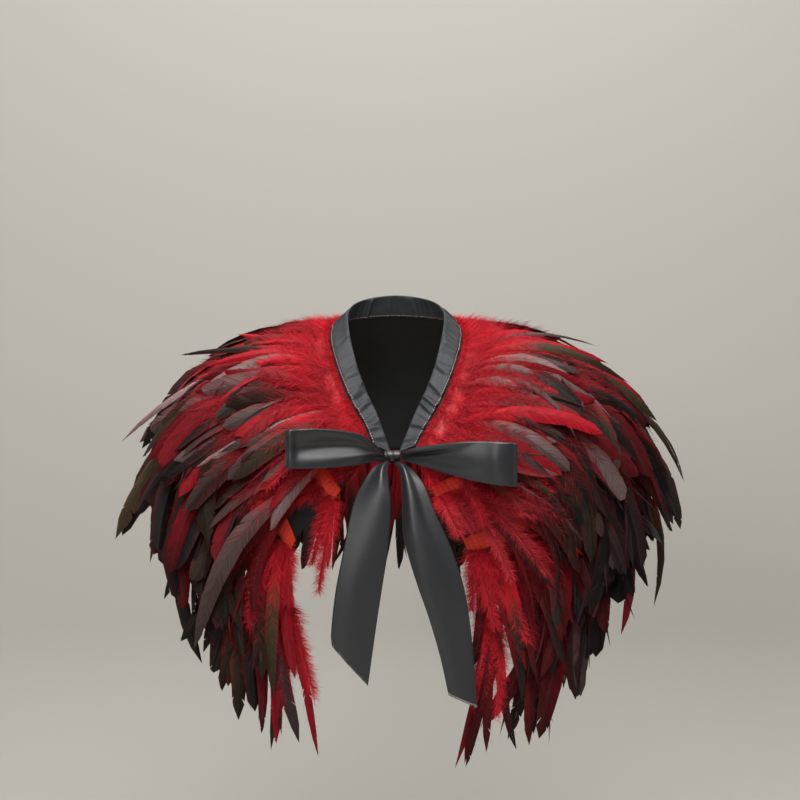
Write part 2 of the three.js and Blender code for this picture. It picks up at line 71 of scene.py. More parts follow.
SIDE_ROWS_MM = [
    ((18, -71, -73), (32, -79, -83), (78, -108, -126), (116, -108, -176), (138, -96, -232),
     (146, -98, -372), 0.74, 1),
    ((29, -52, -50), (46, -64, -60), (105, -88, -80), (150, -90, -114), (182, -82, -160),
     (204, -90, -305), 0.82, 0.96),
    ((42, -34, -15), (60, -38, -27), (118, -52, -37), (173, -58, -70), (205, -56, -118),
     (232, -62, -265), 0.95, 0.88),
    ((51, 4, 26), (69, 4, 8), (124, 0, -13), (181, 0, -41), (214, 0, -92),
     (240, 0, -238), 1.0, 0.84),
    ((47, 28, 43), (61, 36, 26), (116, 52, 4), (169, 64, -30), (203, 68, -88),
     (231, 74, -240), 0.95, 0.88),
    ((30, 46, 52), (37, 55, 31), (76, 90, 4), (118, 108, -36), (148, 114, -96),
     (170, 126, -252), 0.85, 0.95),
]
BACK_ROW_MM = ((0, 54, 56), (0, 63, 33), (0, 100, -4), (0, 120, -46), (0, 128, -104),
               (0, 140, -262), 0.8, 1)
LEFT_EDGE_ROW_MM = ((-4.5, -89.5, -110), (-23, -91, -104), (-59, -112, -153), (-102, -103, -202),
                    (-101, -92, -256), (-90, -98, -400), 0.7, 1)
RIGHT_EDGE_ROW_MM = ((2.5, -89.5, -110), (20, -91, -104), (38, -112, -150), (69, -106, -201),
                     (80, -98, -256), (86, -100, -400), 0.7, 1)
LEFT_REACH, RIGHT_REACH = -0.975, 1.05  # the right side stands out further, as worn
PLACE_AT = np.array([0, 1, 2, 3, 5.5])  # in tier pitches down from the neck seam
PITCH = 60 * MM
NEAR = 0.05  # the step of a slope that is measured, in rows or pitches


def side_rows(reach):
    """The six rows of one side: the band and neck seam mirrored, the cloth also widened or narrowed."""
    shares = [np.sign(reach)] * 2 + [reach] * 4
    return [(*[(x * share, y, z) for (x, y, z), share in zip(places, shares)], rise, length)
            for *places, rise, length in SIDE_ROWS_MM]


ROWS = [LEFT_EDGE_ROW_MM, *side_rows(LEFT_REACH), BACK_ROW_MM, *side_rows(RIGHT_REACH)[::-1],
        RIGHT_EDGE_ROW_MM]
LAST = len(ROWS) - 1
SHOULDER_SEAMS = (4, LAST - 4)
FOLDS = np.array([row[0] for row in ROWS]) * MM
DOWN = np.array([row[1:6] for row in ROWS]) * MM
RISE = np.array([row[6] for row in ROWS])
LENGTH = np.array([row[7] for row in ROWS])


def slopes(points, at):
    """The slope at each station of a smooth curve: the paces of the two spans beside it, mixed."""
    span = np.diff(at)
    pace = np.diff(points, axis=-2) / span[:, None]
    share = (span[:-1] / (span[:-1] + span[1:]))[:, None]
    inner = pace[..., :-1, :] * (1 - share) + pace[..., 1:, :] * share
    return np.concatenate([pace[..., :1, :], inner, pace[..., -1:, :]], axis=-2)


def along_curve(points, slope, at, s):
    """A cubic through the stations with the given slopes, straight on past both ends."""
    i = np.clip(np.searchsorted(at, s) - 1, 0, len(at) - 2)
    rows = np.arange(len(s))
    p0, p1 = points[rows, i], points[rows, i + 1]
    m0, m1 = slope[rows, i], slope[rows, i + 1]
    span = (at[i + 1] - at[i])[:, None]
    t = np.clip((s - at[i])[:, None] / span, 0, 1)
    rest = 1 - t
    on = (p0 * rest ** 2 * (1 + 2 * t) + m0 * rest ** 2 * t * span
          + p1 * t ** 2 * (3 - 2 * t) - m1 * t ** 2 * rest * span)
    before = np.minimum(s - at[0], 0)[:, None] * m0
    after = np.maximum(s - at[-1], 0)[:, None] * m1
    return on + before + after


DOWN_SLOPES = slopes(DOWN, PLACE_AT)


def across_rows(u, value):
    """Values of the rows blended at u: a cubic through the four rows around it, straight past the edges."""
    i = np.clip(np.floor(u).astype(int), 0, LAST - 1)
    t = (u - i)[:, None]
    p1, p2 = value(i), value(i + 1)
    p0 = np.where((i > 0)[:, None], value(np.maximum(i - 1, 0)), 2 * p1 - p2)
    p3 = np.where((i + 2 <= LAST)[:, None], value(np.minimum(i + 2, LAST)), 2 * p2 - p1)
    k = np.clip(t, 0, 1)
    inside = (p0 * (-k + 2 * k ** 2 - k ** 3) + p1 * (2 - 5 * k ** 2 + 3 * k ** 3)
              + p2 * (k + 4 * k ** 2 - 3 * k ** 3) + p3 * (-k ** 2 + k ** 3)) / 2
    return inside + np.minimum(t, 0) * (p2 - p0) / 2 + np.maximum(t - 1, 0) * (p3 - p1) / 2


def band_vector(u):
    """From the neck seam to the band's folded edge."""
    return across_rows(u, lambda i: FOLDS[i]) - across_rows(u, lambda i: DOWN[i, 0])


def unit(v):
    """Vectors at length one."""
    return v / np.maximum(np.linalg.norm(v, axis=-1, keepdims=True), 1e-12)


def cloth(u, s):
    """The cloth's outer face: u counts rows round the cape, s counts tier pitches down from the neck seam,
    and above the seam the margin runs up along the band."""
    u, s = np.broadcast_arrays(np.asarray(u, float), np.asarray(s, float))
    shape, u, s = u.shape, u.ravel(), s.ravel()
    below = across_rows(u, lambda i: along_curve(DOWN[i], DOWN_SLOPES[i], PLACE_AT, np.maximum(s, 0)))
    margin = unit(band_vector(u)) * np.maximum(-s, 0)[:, None] * PITCH
    return (below + margin).reshape(*shape, 3)


def round_at(u, s):
    """The way round the cape for one row: the difference of two near points over their distance in rows."""
    return (cloth(u + NEAR, s) - cloth(u - NEAR, s)) / (2 * NEAR)


def outward(u, s):
    """Out of the cloth: the way round crossed with the way down, and on the band the way down it."""
    u, s = np.broadcast_arrays(np.asarray(u, float), np.asarray(s, float))
    down = cloth(u, np.maximum(s, 0) + NEAR) - cloth(u, np.maximum(s - NEAR, 0))
    on_band = -band_vector(u.ravel()).reshape(*u.shape, 3)
    down = np.where((s <= 0)[..., None], on_band, down)
    return unit(np.cross(round_at(u, np.maximum(s, 0)), down))


def row_share(u, values):
    """A row's share, such as its rise, blended at u."""
    u = np.asarray(u, float)
    return across_rows(u.ravel(), lambda i: values[i][:, None]).reshape(u.shape)


def step_lengths(points, axis=0):
    """The distance from each point to the next along one axis."""
    return np.linalg.norm(np.diff(points, axis=axis), axis=-1)


def run_of(steps):
    """The distance from the start after each step."""
    return np.concatenate([[0], np.cumsum(steps)])


def ruler(s):
    """Distances along the cloth at s from the left front edge, and u at each of them."""
    u = np.linspace(0, LAST, LAST * 20 + 1)
    return run_of(step_lengths(cloth(u, s))), u


def smooth(low, high, x):
    """0 below low, 1 above high, and a soft step between."""
    t = np.clip((x - low) / (high - low), 0, 1)
    return t * t * (3 - 2 * t)


def bell(x, middle, width):
    """A soft bump of height 1 at middle that has fallen away two widths to either side."""
    return np.exp(-((x - middle) / width) ** 2)


def blend(first, second, share):
    """The first where the share is 0, and the second where it is 1."""
    return first * (1 - share) + second * share


# Meshes from arrays

def add_mesh(name, points, quads, triangles, uv, dye=None, materials=(), finish=None):
    """A mesh object from arrays: points (n, 3), quads (m, 4), triangles (k, 3), a UV and a colour for each
    point, and the number of its material for each face, the quads first."""
    quads = np.asarray(quads, np.int32).reshape(-1, 4)
    triangles = np.asarray(triangles, np.int32).reshape(-1, 3)
    mesh = bpy.data.meshes.new(name)
    corners = np.concatenate([quads.ravel(), triangles.ravel()])
    starts = np.concatenate([np.arange(len(quads)) * 4, len(quads) * 4 + np.arange(len(triangles)) * 3])
    mesh.vertices.add(len(points))
    mesh.vertices.foreach_set("co", np.asarray(points, np.float32).ravel())
    mesh.loops.add(len(corners))
    mesh.loops.foreach_set("vertex_index", corners)
    mesh.polygons.add(len(starts))
    mesh.polygons.foreach_set("loop_start", starts.astype(np.int32))
    if finish is not None:
        mesh.polygons.foreach_set("material_index", np.asarray(finish, np.int32))
    layer = mesh.uv_layers.new(name="cut")
    layer.data.foreach_set("uv", np.asarray(uv, np.float32)[corners].ravel())
    if dye is not None:
        colours = mesh.color_attributes.new("dye", "FLOAT_COLOR", "POINT")
        rgba = np.concatenate([dye, np.ones((len(points), 1))], axis=1)
        colours.data.foreach_set("color", rgba.astype(np.float32).ravel())
    mesh.update(calc_edges=True)
    mesh.validate()
    mesh.shade_smooth()
    for material in materials:
        mesh.materials.append(material)
    piece = add_object(name, mesh)
    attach(piece, "root")
    return piece


def grid_quads(rows, columns, start=0, turned=False):
    """The faces of a grid of points that runs row by row."""
    a = (np.arange(rows - 1)[:, None] * columns + np.arange(columns - 1)).ravel() + start
    quads = np.stack([a, a + columns, a + columns + 1, a + 1], axis=1)
    return quads[:, ::-1] if turned else quads


def grid_normals(grid):
    """The direction out of a grid at each point: its two differences crossed."""
    return unit(np.cross(np.gradient(grid, axis=0), np.gradient(grid, axis=1)))


def thin_shell(front, wall):
    """A closed wall behind a grid of points: the grid, the same grid moved in by the wall, and a rim."""
    rows, columns = front.shape[:2]
    back = front - grid_normals(front) * wall
    count = rows * columns
    first = np.arange(columns - 1)
    side = np.arange(rows - 1) * columns
    rim = np.concatenate([first, side + columns - 1, (rows - 1) * columns + first[::-1] + 1,
                          side[::-1] + columns])
    rim_to = np.roll(rim, -1)
    edge = np.stack([rim, rim_to, rim_to + count, rim + count], axis=1)
    quads = np.concatenate([grid_quads(rows, columns), grid_quads(rows, columns, count, True), edge])
    return np.concatenate([front.reshape(-1, 3), back.reshape(-1, 3)]), quads


def copies(faces, count, points):
    """The faces of one part, repeated for a count of parts with so many points each."""
    return (faces + (np.arange(count) * points)[:, None, None]).reshape(-1, faces.shape[-1])


def pairs(first, second):
    """Two arrays, spread to fit each other, as places on the map."""
    return np.stack(np.broadcast_arrays(first, second), axis=-1).reshape(-1, 2)


def cloth_piece(name, front, wall, material):
    """A thin closed piece of cloth on a grid. Its map is the flat cut: metres along the middle of the grid
    and metres across it."""
    points, quads = thin_shell(front, wall)
    cut = pairs(run_of(step_lengths(front).mean(1))[:, None], run_of(step_lengths(front, 1).mean(0)))
    piece = add_mesh(name, points, quads, (), np.concatenate([cut, cut]), materials=[material])
    return piece


# Materials

def new_material(name):
    """A material with nodes: itself, its nodes' tree and its surface shader."""
    material = bpy.data.materials.new(name)
    material.use_nodes = True
    return material, material.node_tree, material.node_tree.nodes["Principled BSDF"]


def feed(tree, place, value):
    """An input linked to a socket or given a value."""
    if isinstance(value, bpy.types.NodeSocket):
        tree.links.new(value, place)
    else:
        place.default_value = value


def node(tree, kind, *feeds, **settings):
    """A node of a kind. Settings are its own values or its inputs by name, and feeds go to its inputs in
    their order."""
    made = tree.nodes.new("ShaderNode" + kind)
    for key, value in settings.items():
        if key in made.inputs:
            feed(tree, made.inputs[key], value)
        else:
            setattr(made, key, value)
    for place, value in zip(made.inputs, feeds):
        feed(tree, place, value)
    return made


def maths(tree, operation, *feeds):
    """The result of one operation on sockets and numbers."""
    return node(tree, "Math", *feeds, operation=operation).outputs[0]


def noise(tree, place, scale, detail):
    """Flat noise at a place on the map."""
    made = node(tree, "TexNoise", place, noise_dimensions="2D", Scale=scale, Detail=detail)
    return made.outputs["Fac"]


def toned(tree, height, middle, contrast):
    """Tone and Height of a pattern: Tone is 1 where the height is at its middle."""
    centred = maths(tree, "SUBTRACT", height, middle)
    return maths(tree, "MULTIPLY_ADD", centred, contrast, 1), height


def barb_streaks(tree, cut, lines, contrast):
    """Fine lines along the barbs: noise stretched along the map's second direction, fine and broad."""
    x, y, _ = node(tree, "SeparateXYZ", cut).outputs
    x, y = maths(tree, "MULTIPLY", x, lines), maths(tree, "MULTIPLY", y, 90)
    place = node(tree, "CombineXYZ", x, y).outputs[0]
    both = maths(tree, "ADD", noise(tree, place, 1, 2), noise(tree, place, 0.4, 1))
    return toned(tree, both, 1, contrast)


def waves(tree, cut, along, across):
    """A wave along the cut and one across it, each with its own turn (radians) for each metre."""
    ways = zip(node(tree, "SeparateXYZ", cut).outputs, (along, across))
    return [maths(tree, "SINE", maths(tree, "MULTIPLY", way, turn)) for way, turn in ways]


def thread_weave(tree, cut, along, across, contrast):
    """Crossing threads: two waves at right angles on the cut, one raised between the other's threads, with
    a slow unevenness."""
    crossed = maths(tree, "MULTIPLY", *waves(tree, cut, along, across))
    height = maths(tree, "MULTIPLY_ADD", crossed, 0.35, noise(tree, cut, 60, 3))
    return toned(tree, height, 0.5, contrast)


def tape_ribs(tree, cut, along, across, contrast):
    """Bars across a tape and rows of stitching along it: waves along and across the cut, with narrow
    grooves where a low power of the wave's size falls to nothing."""
    along, across = maths(tree, "MULTIPLY", along, 0.5), maths(tree, "MULTIPLY", across, 0.5)
    bars, rows = (maths(tree, "ABSOLUTE", wave) for wave in waves(tree, cut, along, across))
    height = maths(tree, "MULTIPLY", maths(tree, "POWER", bars, 0.28), maths(tree, "POWER", rows, 0.2))
    return toned(tree, height, 0.8, contrast)


def pattern_group(name, pattern, **settings):
    """A pattern on the cut as a node group with named settings. Tone is a factor for the colour, and Height
    is for the bump."""
    tree = bpy.data.node_groups.new(name, "ShaderNodeTree")
    for label, value in settings.items():
        socket = tree.interface.new_socket(name=label, in_out="INPUT", socket_type="NodeSocketFloat")
        socket.default_value = value
    for label in ("Tone", "Height"):
        tree.interface.new_socket(name=label, in_out="OUTPUT", socket_type="NodeSocketFloat")
    given = tree.nodes.new("NodeGroupInput").outputs
    cut = node(tree, "UVMap", uv_map="cut").outputs["UV"]
    made = pattern(tree, cut, *(given[label] for label in settings))
    for place, socket in zip(tree.nodes.new("NodeGroupOutput").inputs, made):
        tree.links.new(socket, place)
    return tree


STREAKS = pattern_group("barb_streaks", barb_streaks, Lines=1500, Contrast=0.35)
RIBS = pattern_group("tape_ribs", tape_ribs, Along=1900, Across=700, Contrast=0.6)
WEAVE = pattern_group("thread_weave", thread_weave, Along=1200, Across=1200, Contrast=0.3)


def patterned(name, pattern, settings, colour, bump, depth, roughness, specular=0.5, sheen=0, soft=0.5):
    """A material whose colour is multiplied by a pattern group's Tone and bumped by its Height. The group's
    settings are in its order, depth is the bump's in millimetres, soft is the sheen's roughness, and
    without a colour the piece's dye is used."""
    material, tree, shader = new_material(name)
    lines = node(tree, "Group", *settings, node_tree=pattern)
    if colour is None:
        base = node(tree, "Attribute", attribute_name="dye").outputs["Color"]
    else:
        base = (*colour, 1)
    mix = node(tree, "Mix", data_type="RGBA", blend_type="MULTIPLY", Factor=1)
    feed(tree, mix.inputs[6], base)
    feed(tree, mix.inputs[7], lines.outputs["Tone"])
    relief = node(tree, "Bump", Strength=bump, Distance=depth * MM, Height=lines.outputs["Height"])
    surface = {"Base Color": mix.outputs[2], "Normal": relief.outputs["Normal"], "Roughness": roughness,
               "Specular IOR Level": specular, "Sheen Weight": sheen, "Sheen Roughness": soft}
    for key, value in surface.items():
        feed(tree, shader.inputs[key], value)
    return material


VANE = patterned("feather_vane", STREAKS, (1500, 1.2), None, 0.5, 0.5, 0.5, 0.18, 0.02, 0.4)
DOWN_HAIR = patterned("feather_down", STREAKS, (700, 0.3), None, 0.1, 0.2, 0.8, 0.2, 0.12)
SATIN = patterned("ribbon_satin", WEAVE, (5200, 9000, 0.25), (0.0075, 0.009, 0.012), 0.1, 0.2, 0.45, 1,
                  0.05, 0.45)
BAND_SATIN = patterned("band_satin", WEAVE, (2600, 2600, 1.2), (0.024, 0.028, 0.034), 0.8, 0.5, 0.48,
                       0.5, 0.06)
BASE_CLOTH = patterned("base_weave", WEAVE, (6000, 6000, 0.5), (0.011, 0.011, 0.012), 0.4, 0.3, 0.8)
TAPE_CLOTH = patterned("tape_weave", RIBS, (1257, 1396, 0.5), (1, 0.048, 0.018), 0.4, 0.4, 0.6)
NECK_TAPE_CLOTH = patterned("neck_tape_weave", RIBS, (1257, 1396, 0.7), (0.52, 0.01, 0.018), 0.5, 0.5, 0.6)
RED_THREAD, THREAD, PALE_THREAD = (
    patterned(name, WEAVE, (4000, 4000, 0.5), colour, 0.4, 0.3, 0.6) for name, colour in (
        ("red_thread", (0.55, 0.012, 0.02)), ("stitch_thread", (0.75, 0.09, 0.03)),
        ("pale_thread", (0.52, 0.32, 0.32))))

# Feathers

SEAM_GAP = 0.3 * MM
TAPE_WALL = 1.5 * MM
TAPE_WIDTH = 18 * MM
ROOT_DEPTH = 0.6 * MM
LAYER_SPAN = 6.6 * MM  # from the lowest feathers of a row to its highest
SPREAD_BY = 20 * MM

# The four tiers from the neck to the hem
TIER_VALUES = dict(
    name=("tier_1", "tier_2", "tier_3", "tier_4"),
    at_neck=(True, False, False, False),
    slot=("red_feather", "red_feather", "dark_feather", "dark_feather"),
    at=(0.18, 1, 2, 3),  # pitches down from the neck seam
    count=(170, 210, 225, 225),  # feathers in the row
    length=(0.122, 0.142, 0.15, 0.15),  # of a feather
    width=(0.018, 0.02, 0.021, 0.021),
    narrow=(0.42, 0.34, 0.25, 0.22),  # share of narrow feathers
    rise=(0.32, 0.31, 0.285, 0.18),  # slope off the cloth
    pressed=((0.22, 0.45), (0, 0.1), (0, 0), (0, 0)),  # how much flatter on the left and right shoulder
    part=(40, 28, 6, 0),  # degrees that the end feathers lean away from the front edges
    ends=((0.025, 0.014), (0.024, 0.018), (0.007, 0.008), (0.007, 0.008)),  # how far they stay from them
    trim=(1, 0.3, 0.2, 1.6),  # how much of the rows' shortening the tier takes
    cut_side=(0, 0, 0.06, 0.16),  # how much shorter in front of the shoulder
    down=(150, 150, 120, 120),  # barbs of down on a feather
    down_to=(0.6, 0.55, 0.5, 0.5),  # how far along it they reach
    frays=(14, 32, 30, 30),  # barb ends that stand out past a vane's edge
    red=(0.38, 0.3, 0.26, 0.28),  # share of red feathers
    grey=(0.44, 0.22, 0.1, 0.08),  # share of grey ones, the others are dark
    painted_tier_shade=(0.9, 0.72, 0.6, 0.56),  # how bright the dyes are drawn: dimmer down the tiers, painted shade under the light from above
    right_painted_brightness=(1, 0.6, 0.5, 0.48),  # the right side's brightness beside the left's: painted shade, as the light falls from the left
    deep=(0, 0.1, 0.35, 0.4),  # how far the reds go towards crimson
)
TIERS = [dict(zip(TIER_VALUES, values)) for values in zip(*TIER_VALUES.values())]

# Red plumes sewn at the front edges that hang towards the middle: side, how far in from the tape's end
# (mm), lean and curl (degrees), and length and width as shares of the tier's
FRONT_PLUMES = {
    "tier_1": [("right", 26, 14, 0, 0.74, 0.6), ("right", 34, 8, -6, 0.84, 0.7),
        ("right", 43, 0, -4, 0.9, 0.7), ("left", 36, 0, 4, 0.8, 0.6)],
    "tier_2": [("left", 3, -50, -8, 0.31, 0.35), ("left", 8, -34, -14, 0.29, 0.4),
        ("left", 14, 24, -10, 0.5, 0.5), ("left", 22, 30, 0, 0.66, 0.6), ("right", 4, 4, 6, 0.30, 0.35),
        ("right", 9, -10, 6, 0.32, 0.4), ("right", 16, -38, -6, 0.56, 0.5),
        ("right", 24, 0, -4, 0.7, 0.6), ("right", 32, -8, -6, 0.76, 0.6),
        ("right", 40, -24, -4, 0.6, 0.6)],
    "tier_3": [("left", 3, 2, 4, 0.42, 0.35), ("left", 9, 8, -4, 0.58, 0.4),
        ("left", 16, 12, -6, 0.72, 0.5), ("right", 3, 9, 2, 0.42, 0.35), ("right", 8, 2, -8, 0.6, 0.4),
        ("right", 15, -6, -12, 0.74, 0.5)],
    "tier_4": [("left", 3, -10, -4, 0.62, 0.35), ("left", 9, -12, 6, 0.5, 0.4),
        ("left", 15, -3, 0, 0.7, 0.5), ("right", 3, 2, 12, 0.56, 0.35), ("right", 9, 0, 15, 0.72, 0.45),
        ("right", 16, -4, 10, 0.82, 0.5)],
}

RED_ONE, GREY_ONE, DARK_ONE = 0, 1, 2

# Feathers that stand out of their rows, listed one by one: where on the tape (u), where the tip is (x, y, z
# in mm), how steeply it leaves the cloth, its width and curl (mm), its kind, and how bright it is
STRAYS = {
    "tier_1": [(4.0, -166, -4, 11, 0.75, 8, 6, RED_ONE, 1.5),
        (3.8, -158, -14, 0, 0.5, 15, -5, RED_ONE, 0.6), (3.6, -224, -16, -11, 0.8, 8, 8, DARK_ONE, 1.2),
        (3.4, -187, -24, -16, 0.7, 13, 4, GREY_ONE, 0.7), (3.3, -197, -48, -25, 0.9, 12, 3, RED_ONE, 1.3),
        (3.0, -186, -66, -45, 0.9, 8, -4, RED_ONE, 1.7), (2.8, -170, -70, -34, 0.9, 12, 4, RED_ONE, 1.2),
        (1.9, -196, -108, -124, 0.5, 13, 3, GREY_ONE, 1.5),
        (2.2, -172, -96, -106, 0.45, 10, 5, RED_ONE, 1.1),
        (1.2, -138, -122, -142, 0.5, 14, -6, GREY_ONE, 0.9),
        (1.5, -128, -120, -110, 0.4, 13, 5, GREY_ONE, 1.5),
        (11.0, 231, -76, -99, 0.9, 12, 8, GREY_ONE, 1.2),
        (11.5, 150, -100, -78, 0.9, 12, 7, GREY_ONE, 1.25),
        (11.2, 192, -78, -74, 0.9, 11, 6, GREY_ONE, 1.1), (10.0, 158, 2, 4, 0.5, 14, 5, RED_ONE, 1.2),
        (10.2, 186, -2, -8, 0.5, 16, 4, RED_ONE, 1.3), (10.2, 212, -6, -2, 0.6, 4, 7, GREY_ONE, 0.9),
        (10.4, 221, -14, -20, 0.6, 11, 4, RED_ONE, 1.1), (10.6, 241, -22, -40, 0.7, 10, 5, DARK_ONE, 1.5),
        (10.9, 206, -44, -55, 0.55, 13, 6, GREY_ONE, 0.7),
        (11.2, 199, -62, -100, 0.6, 12, -6, RED_ONE, 1.4),
        (11.3, 208, -66, -122, 0.6, 11, 5, GREY_ONE, 1.5),
        (11.7, 162, -92, -100, 0.6, 12, 6, RED_ONE, 1.5),
        (12.1, 160, -104, -142, 0.6, 11, 8, GREY_ONE, 0.95)],
    "tier_2": [(3.9, -224, -20, -57, 0.5, 16, 3, GREY_ONE, 0.7),
        (3.6, -284, -24, -101, 0.6, 9, 6, GREY_ONE, 1.5),
        (3.5, -262, -30, -108, 0.5, 20, -5, DARK_ONE, 1.0),
        (0.9, -196, -120, -300, 0.45, 20, -20, GREY_ONE, 0.8),
        (10.3, 262, -16, -66, 0.45, 15, 6, RED_ONE, 0.9),
        (10.5, 271, -22, -80, 0.5, 15, 4, DARK_ONE, 1.2)],
    "tier_3": [(3.7, -273, -20, -150, 0.4, 14, 4, DARK_ONE, 1.3),
        (3.4, -289, -30, -201, 0.45, 20, 8, DARK_ONE, 1.5),
        (10.2, 300, -14, -143, 0.55, 10, 10, DARK_ONE, 0.9),
        (10.4, 286, -22, -158, 0.4, 16, -6, DARK_ONE, 1.0),
        (10.7, 293, -30, -191, 0.4, 19, 6, DARK_ONE, 1.5),
        (11.4, 243, -58, -203, 0.4, 10, 6, RED_ONE, 0.9),
        (11.9, 240, -72, -252, 0.4, 15, -5, DARK_ONE, 1.4),
        (13.4, 123, -120, -352, 0.5, 15, -8, DARK_ONE, 1.3),
        (13.0, 150, -116, -330, 0.5, 13, 6, DARK_ONE, 1.4),
        (0.7, -118, -120, -348, 0.5, 14, 6, DARK_ONE, 1.3)],
    "tier_4": [(3.5, -283, -24, -198, 0.4, 16, -4, DARK_ONE, 1.1),
        (3.2, -252, -40, -225, 0.4, 9, 6, DARK_ONE, 1.0),
        (2.6, -207, -72, -256, 0.4, 12, 5, DARK_ONE, 1.0),
        (2.1, -193, -80, -321, 0.4, 15, -6, DARK_ONE, 1.3),
        (1.5, -153, -92, -360, 0.4, 10, 5, DARK_ONE, 0.8),
        (0.7, -123, -98, -403, 0.35, 11, 14, DARK_ONE, 1.4),
        (0.3, -76, -102, -409, 0.35, 9, 12, RED_ONE, 0.9),
        (10.5, 266, -26, -272, 0.3, 12, 8, DARK_ONE, 1.2),
        (11.7, 226, -70, -294, 0.3, 13, 4, RED_ONE, 0.9),
        (12.3, 186, -84, -312, 0.3, 9, 5, DARK_ONE, 1.1),
        (12.8, 166, -90, -344, 0.3, 14, -5, RED_ONE, 0.8),
        (13.1, 137, -96, -362, 0.3, 12, 4, RED_ONE, 1.0),
        (13.3, 151, -96, -398, 0.3, 3, 5, DARK_ONE, 1.0),
        (13.5, 110, -100, -392, 0.3, 17, 6, DARK_ONE, 1.3),
        (13.5, 58, -104, -420, 0.35, 9, -26, RED_ONE, 1.0)],
}
RUFF_BARBS = 18000
TUFTS = 420  # of the ruff
COLLAR_BARBS = 5500
PLUME_DOWN = dict(down=950, down_to=0.95, frays=10, fan=(-10, 74), hang=(0, 1.6))
STRAY_DOWN = dict(down=60, down_to=0.4, frays=30)
FEATHER_SEED, TAPE_SEED, TAIL_SEED = 41, 60, 71
DOWN_LENGTH = 19 * MM

BRIGHT_RED = np.array([0.72, 0.010, 0.026])
RED = np.array([0.50, 0.005, 0.016])
CRIMSON = np.array([0.19, 0.003, 0.010])
ROSE = np.array([0.38, 0.07, 0.078])
PALE_MAUVE = np.array([0.25, 0.178, 0.172])
SMOKE = np.array([0.078, 0.052, 0.047])
OLIVE = np.array([0.040, 0.029, 0.014])
GREEN_BLACK = np.array([0.015, 0.015, 0.012])
BROWN = np.array([0.052, 0.016, 0.012])

STATIONS = 11  # along a feather's shaft
TAPE_EDGE = 0.065  # as a share of the shaft: it comes out under the tape's lower edge there
VANE_STEPS = 7  # along each side of a vane, besides its splits
SPLITS = 2  # on each side of a vane
SHAFT_STEPS = 5
FACING = 24  # degrees that the shoulder feathers turn their faces to the front and to the back


def round_shoulder(u):
    """How far a feather turns about its shaft: most just before and just behind the shoulder line, one way
    on each, so that its face is seen from the front and from the back."""
    left = bell(u, 4.9, 0.9) - bell(u, 3.1, 0.9)
    right = bell(LAST - u, 3.1, 0.9) - bell(LAST - u, 4.9, 0.9)
    return np.radians(FACING) * (left + right)


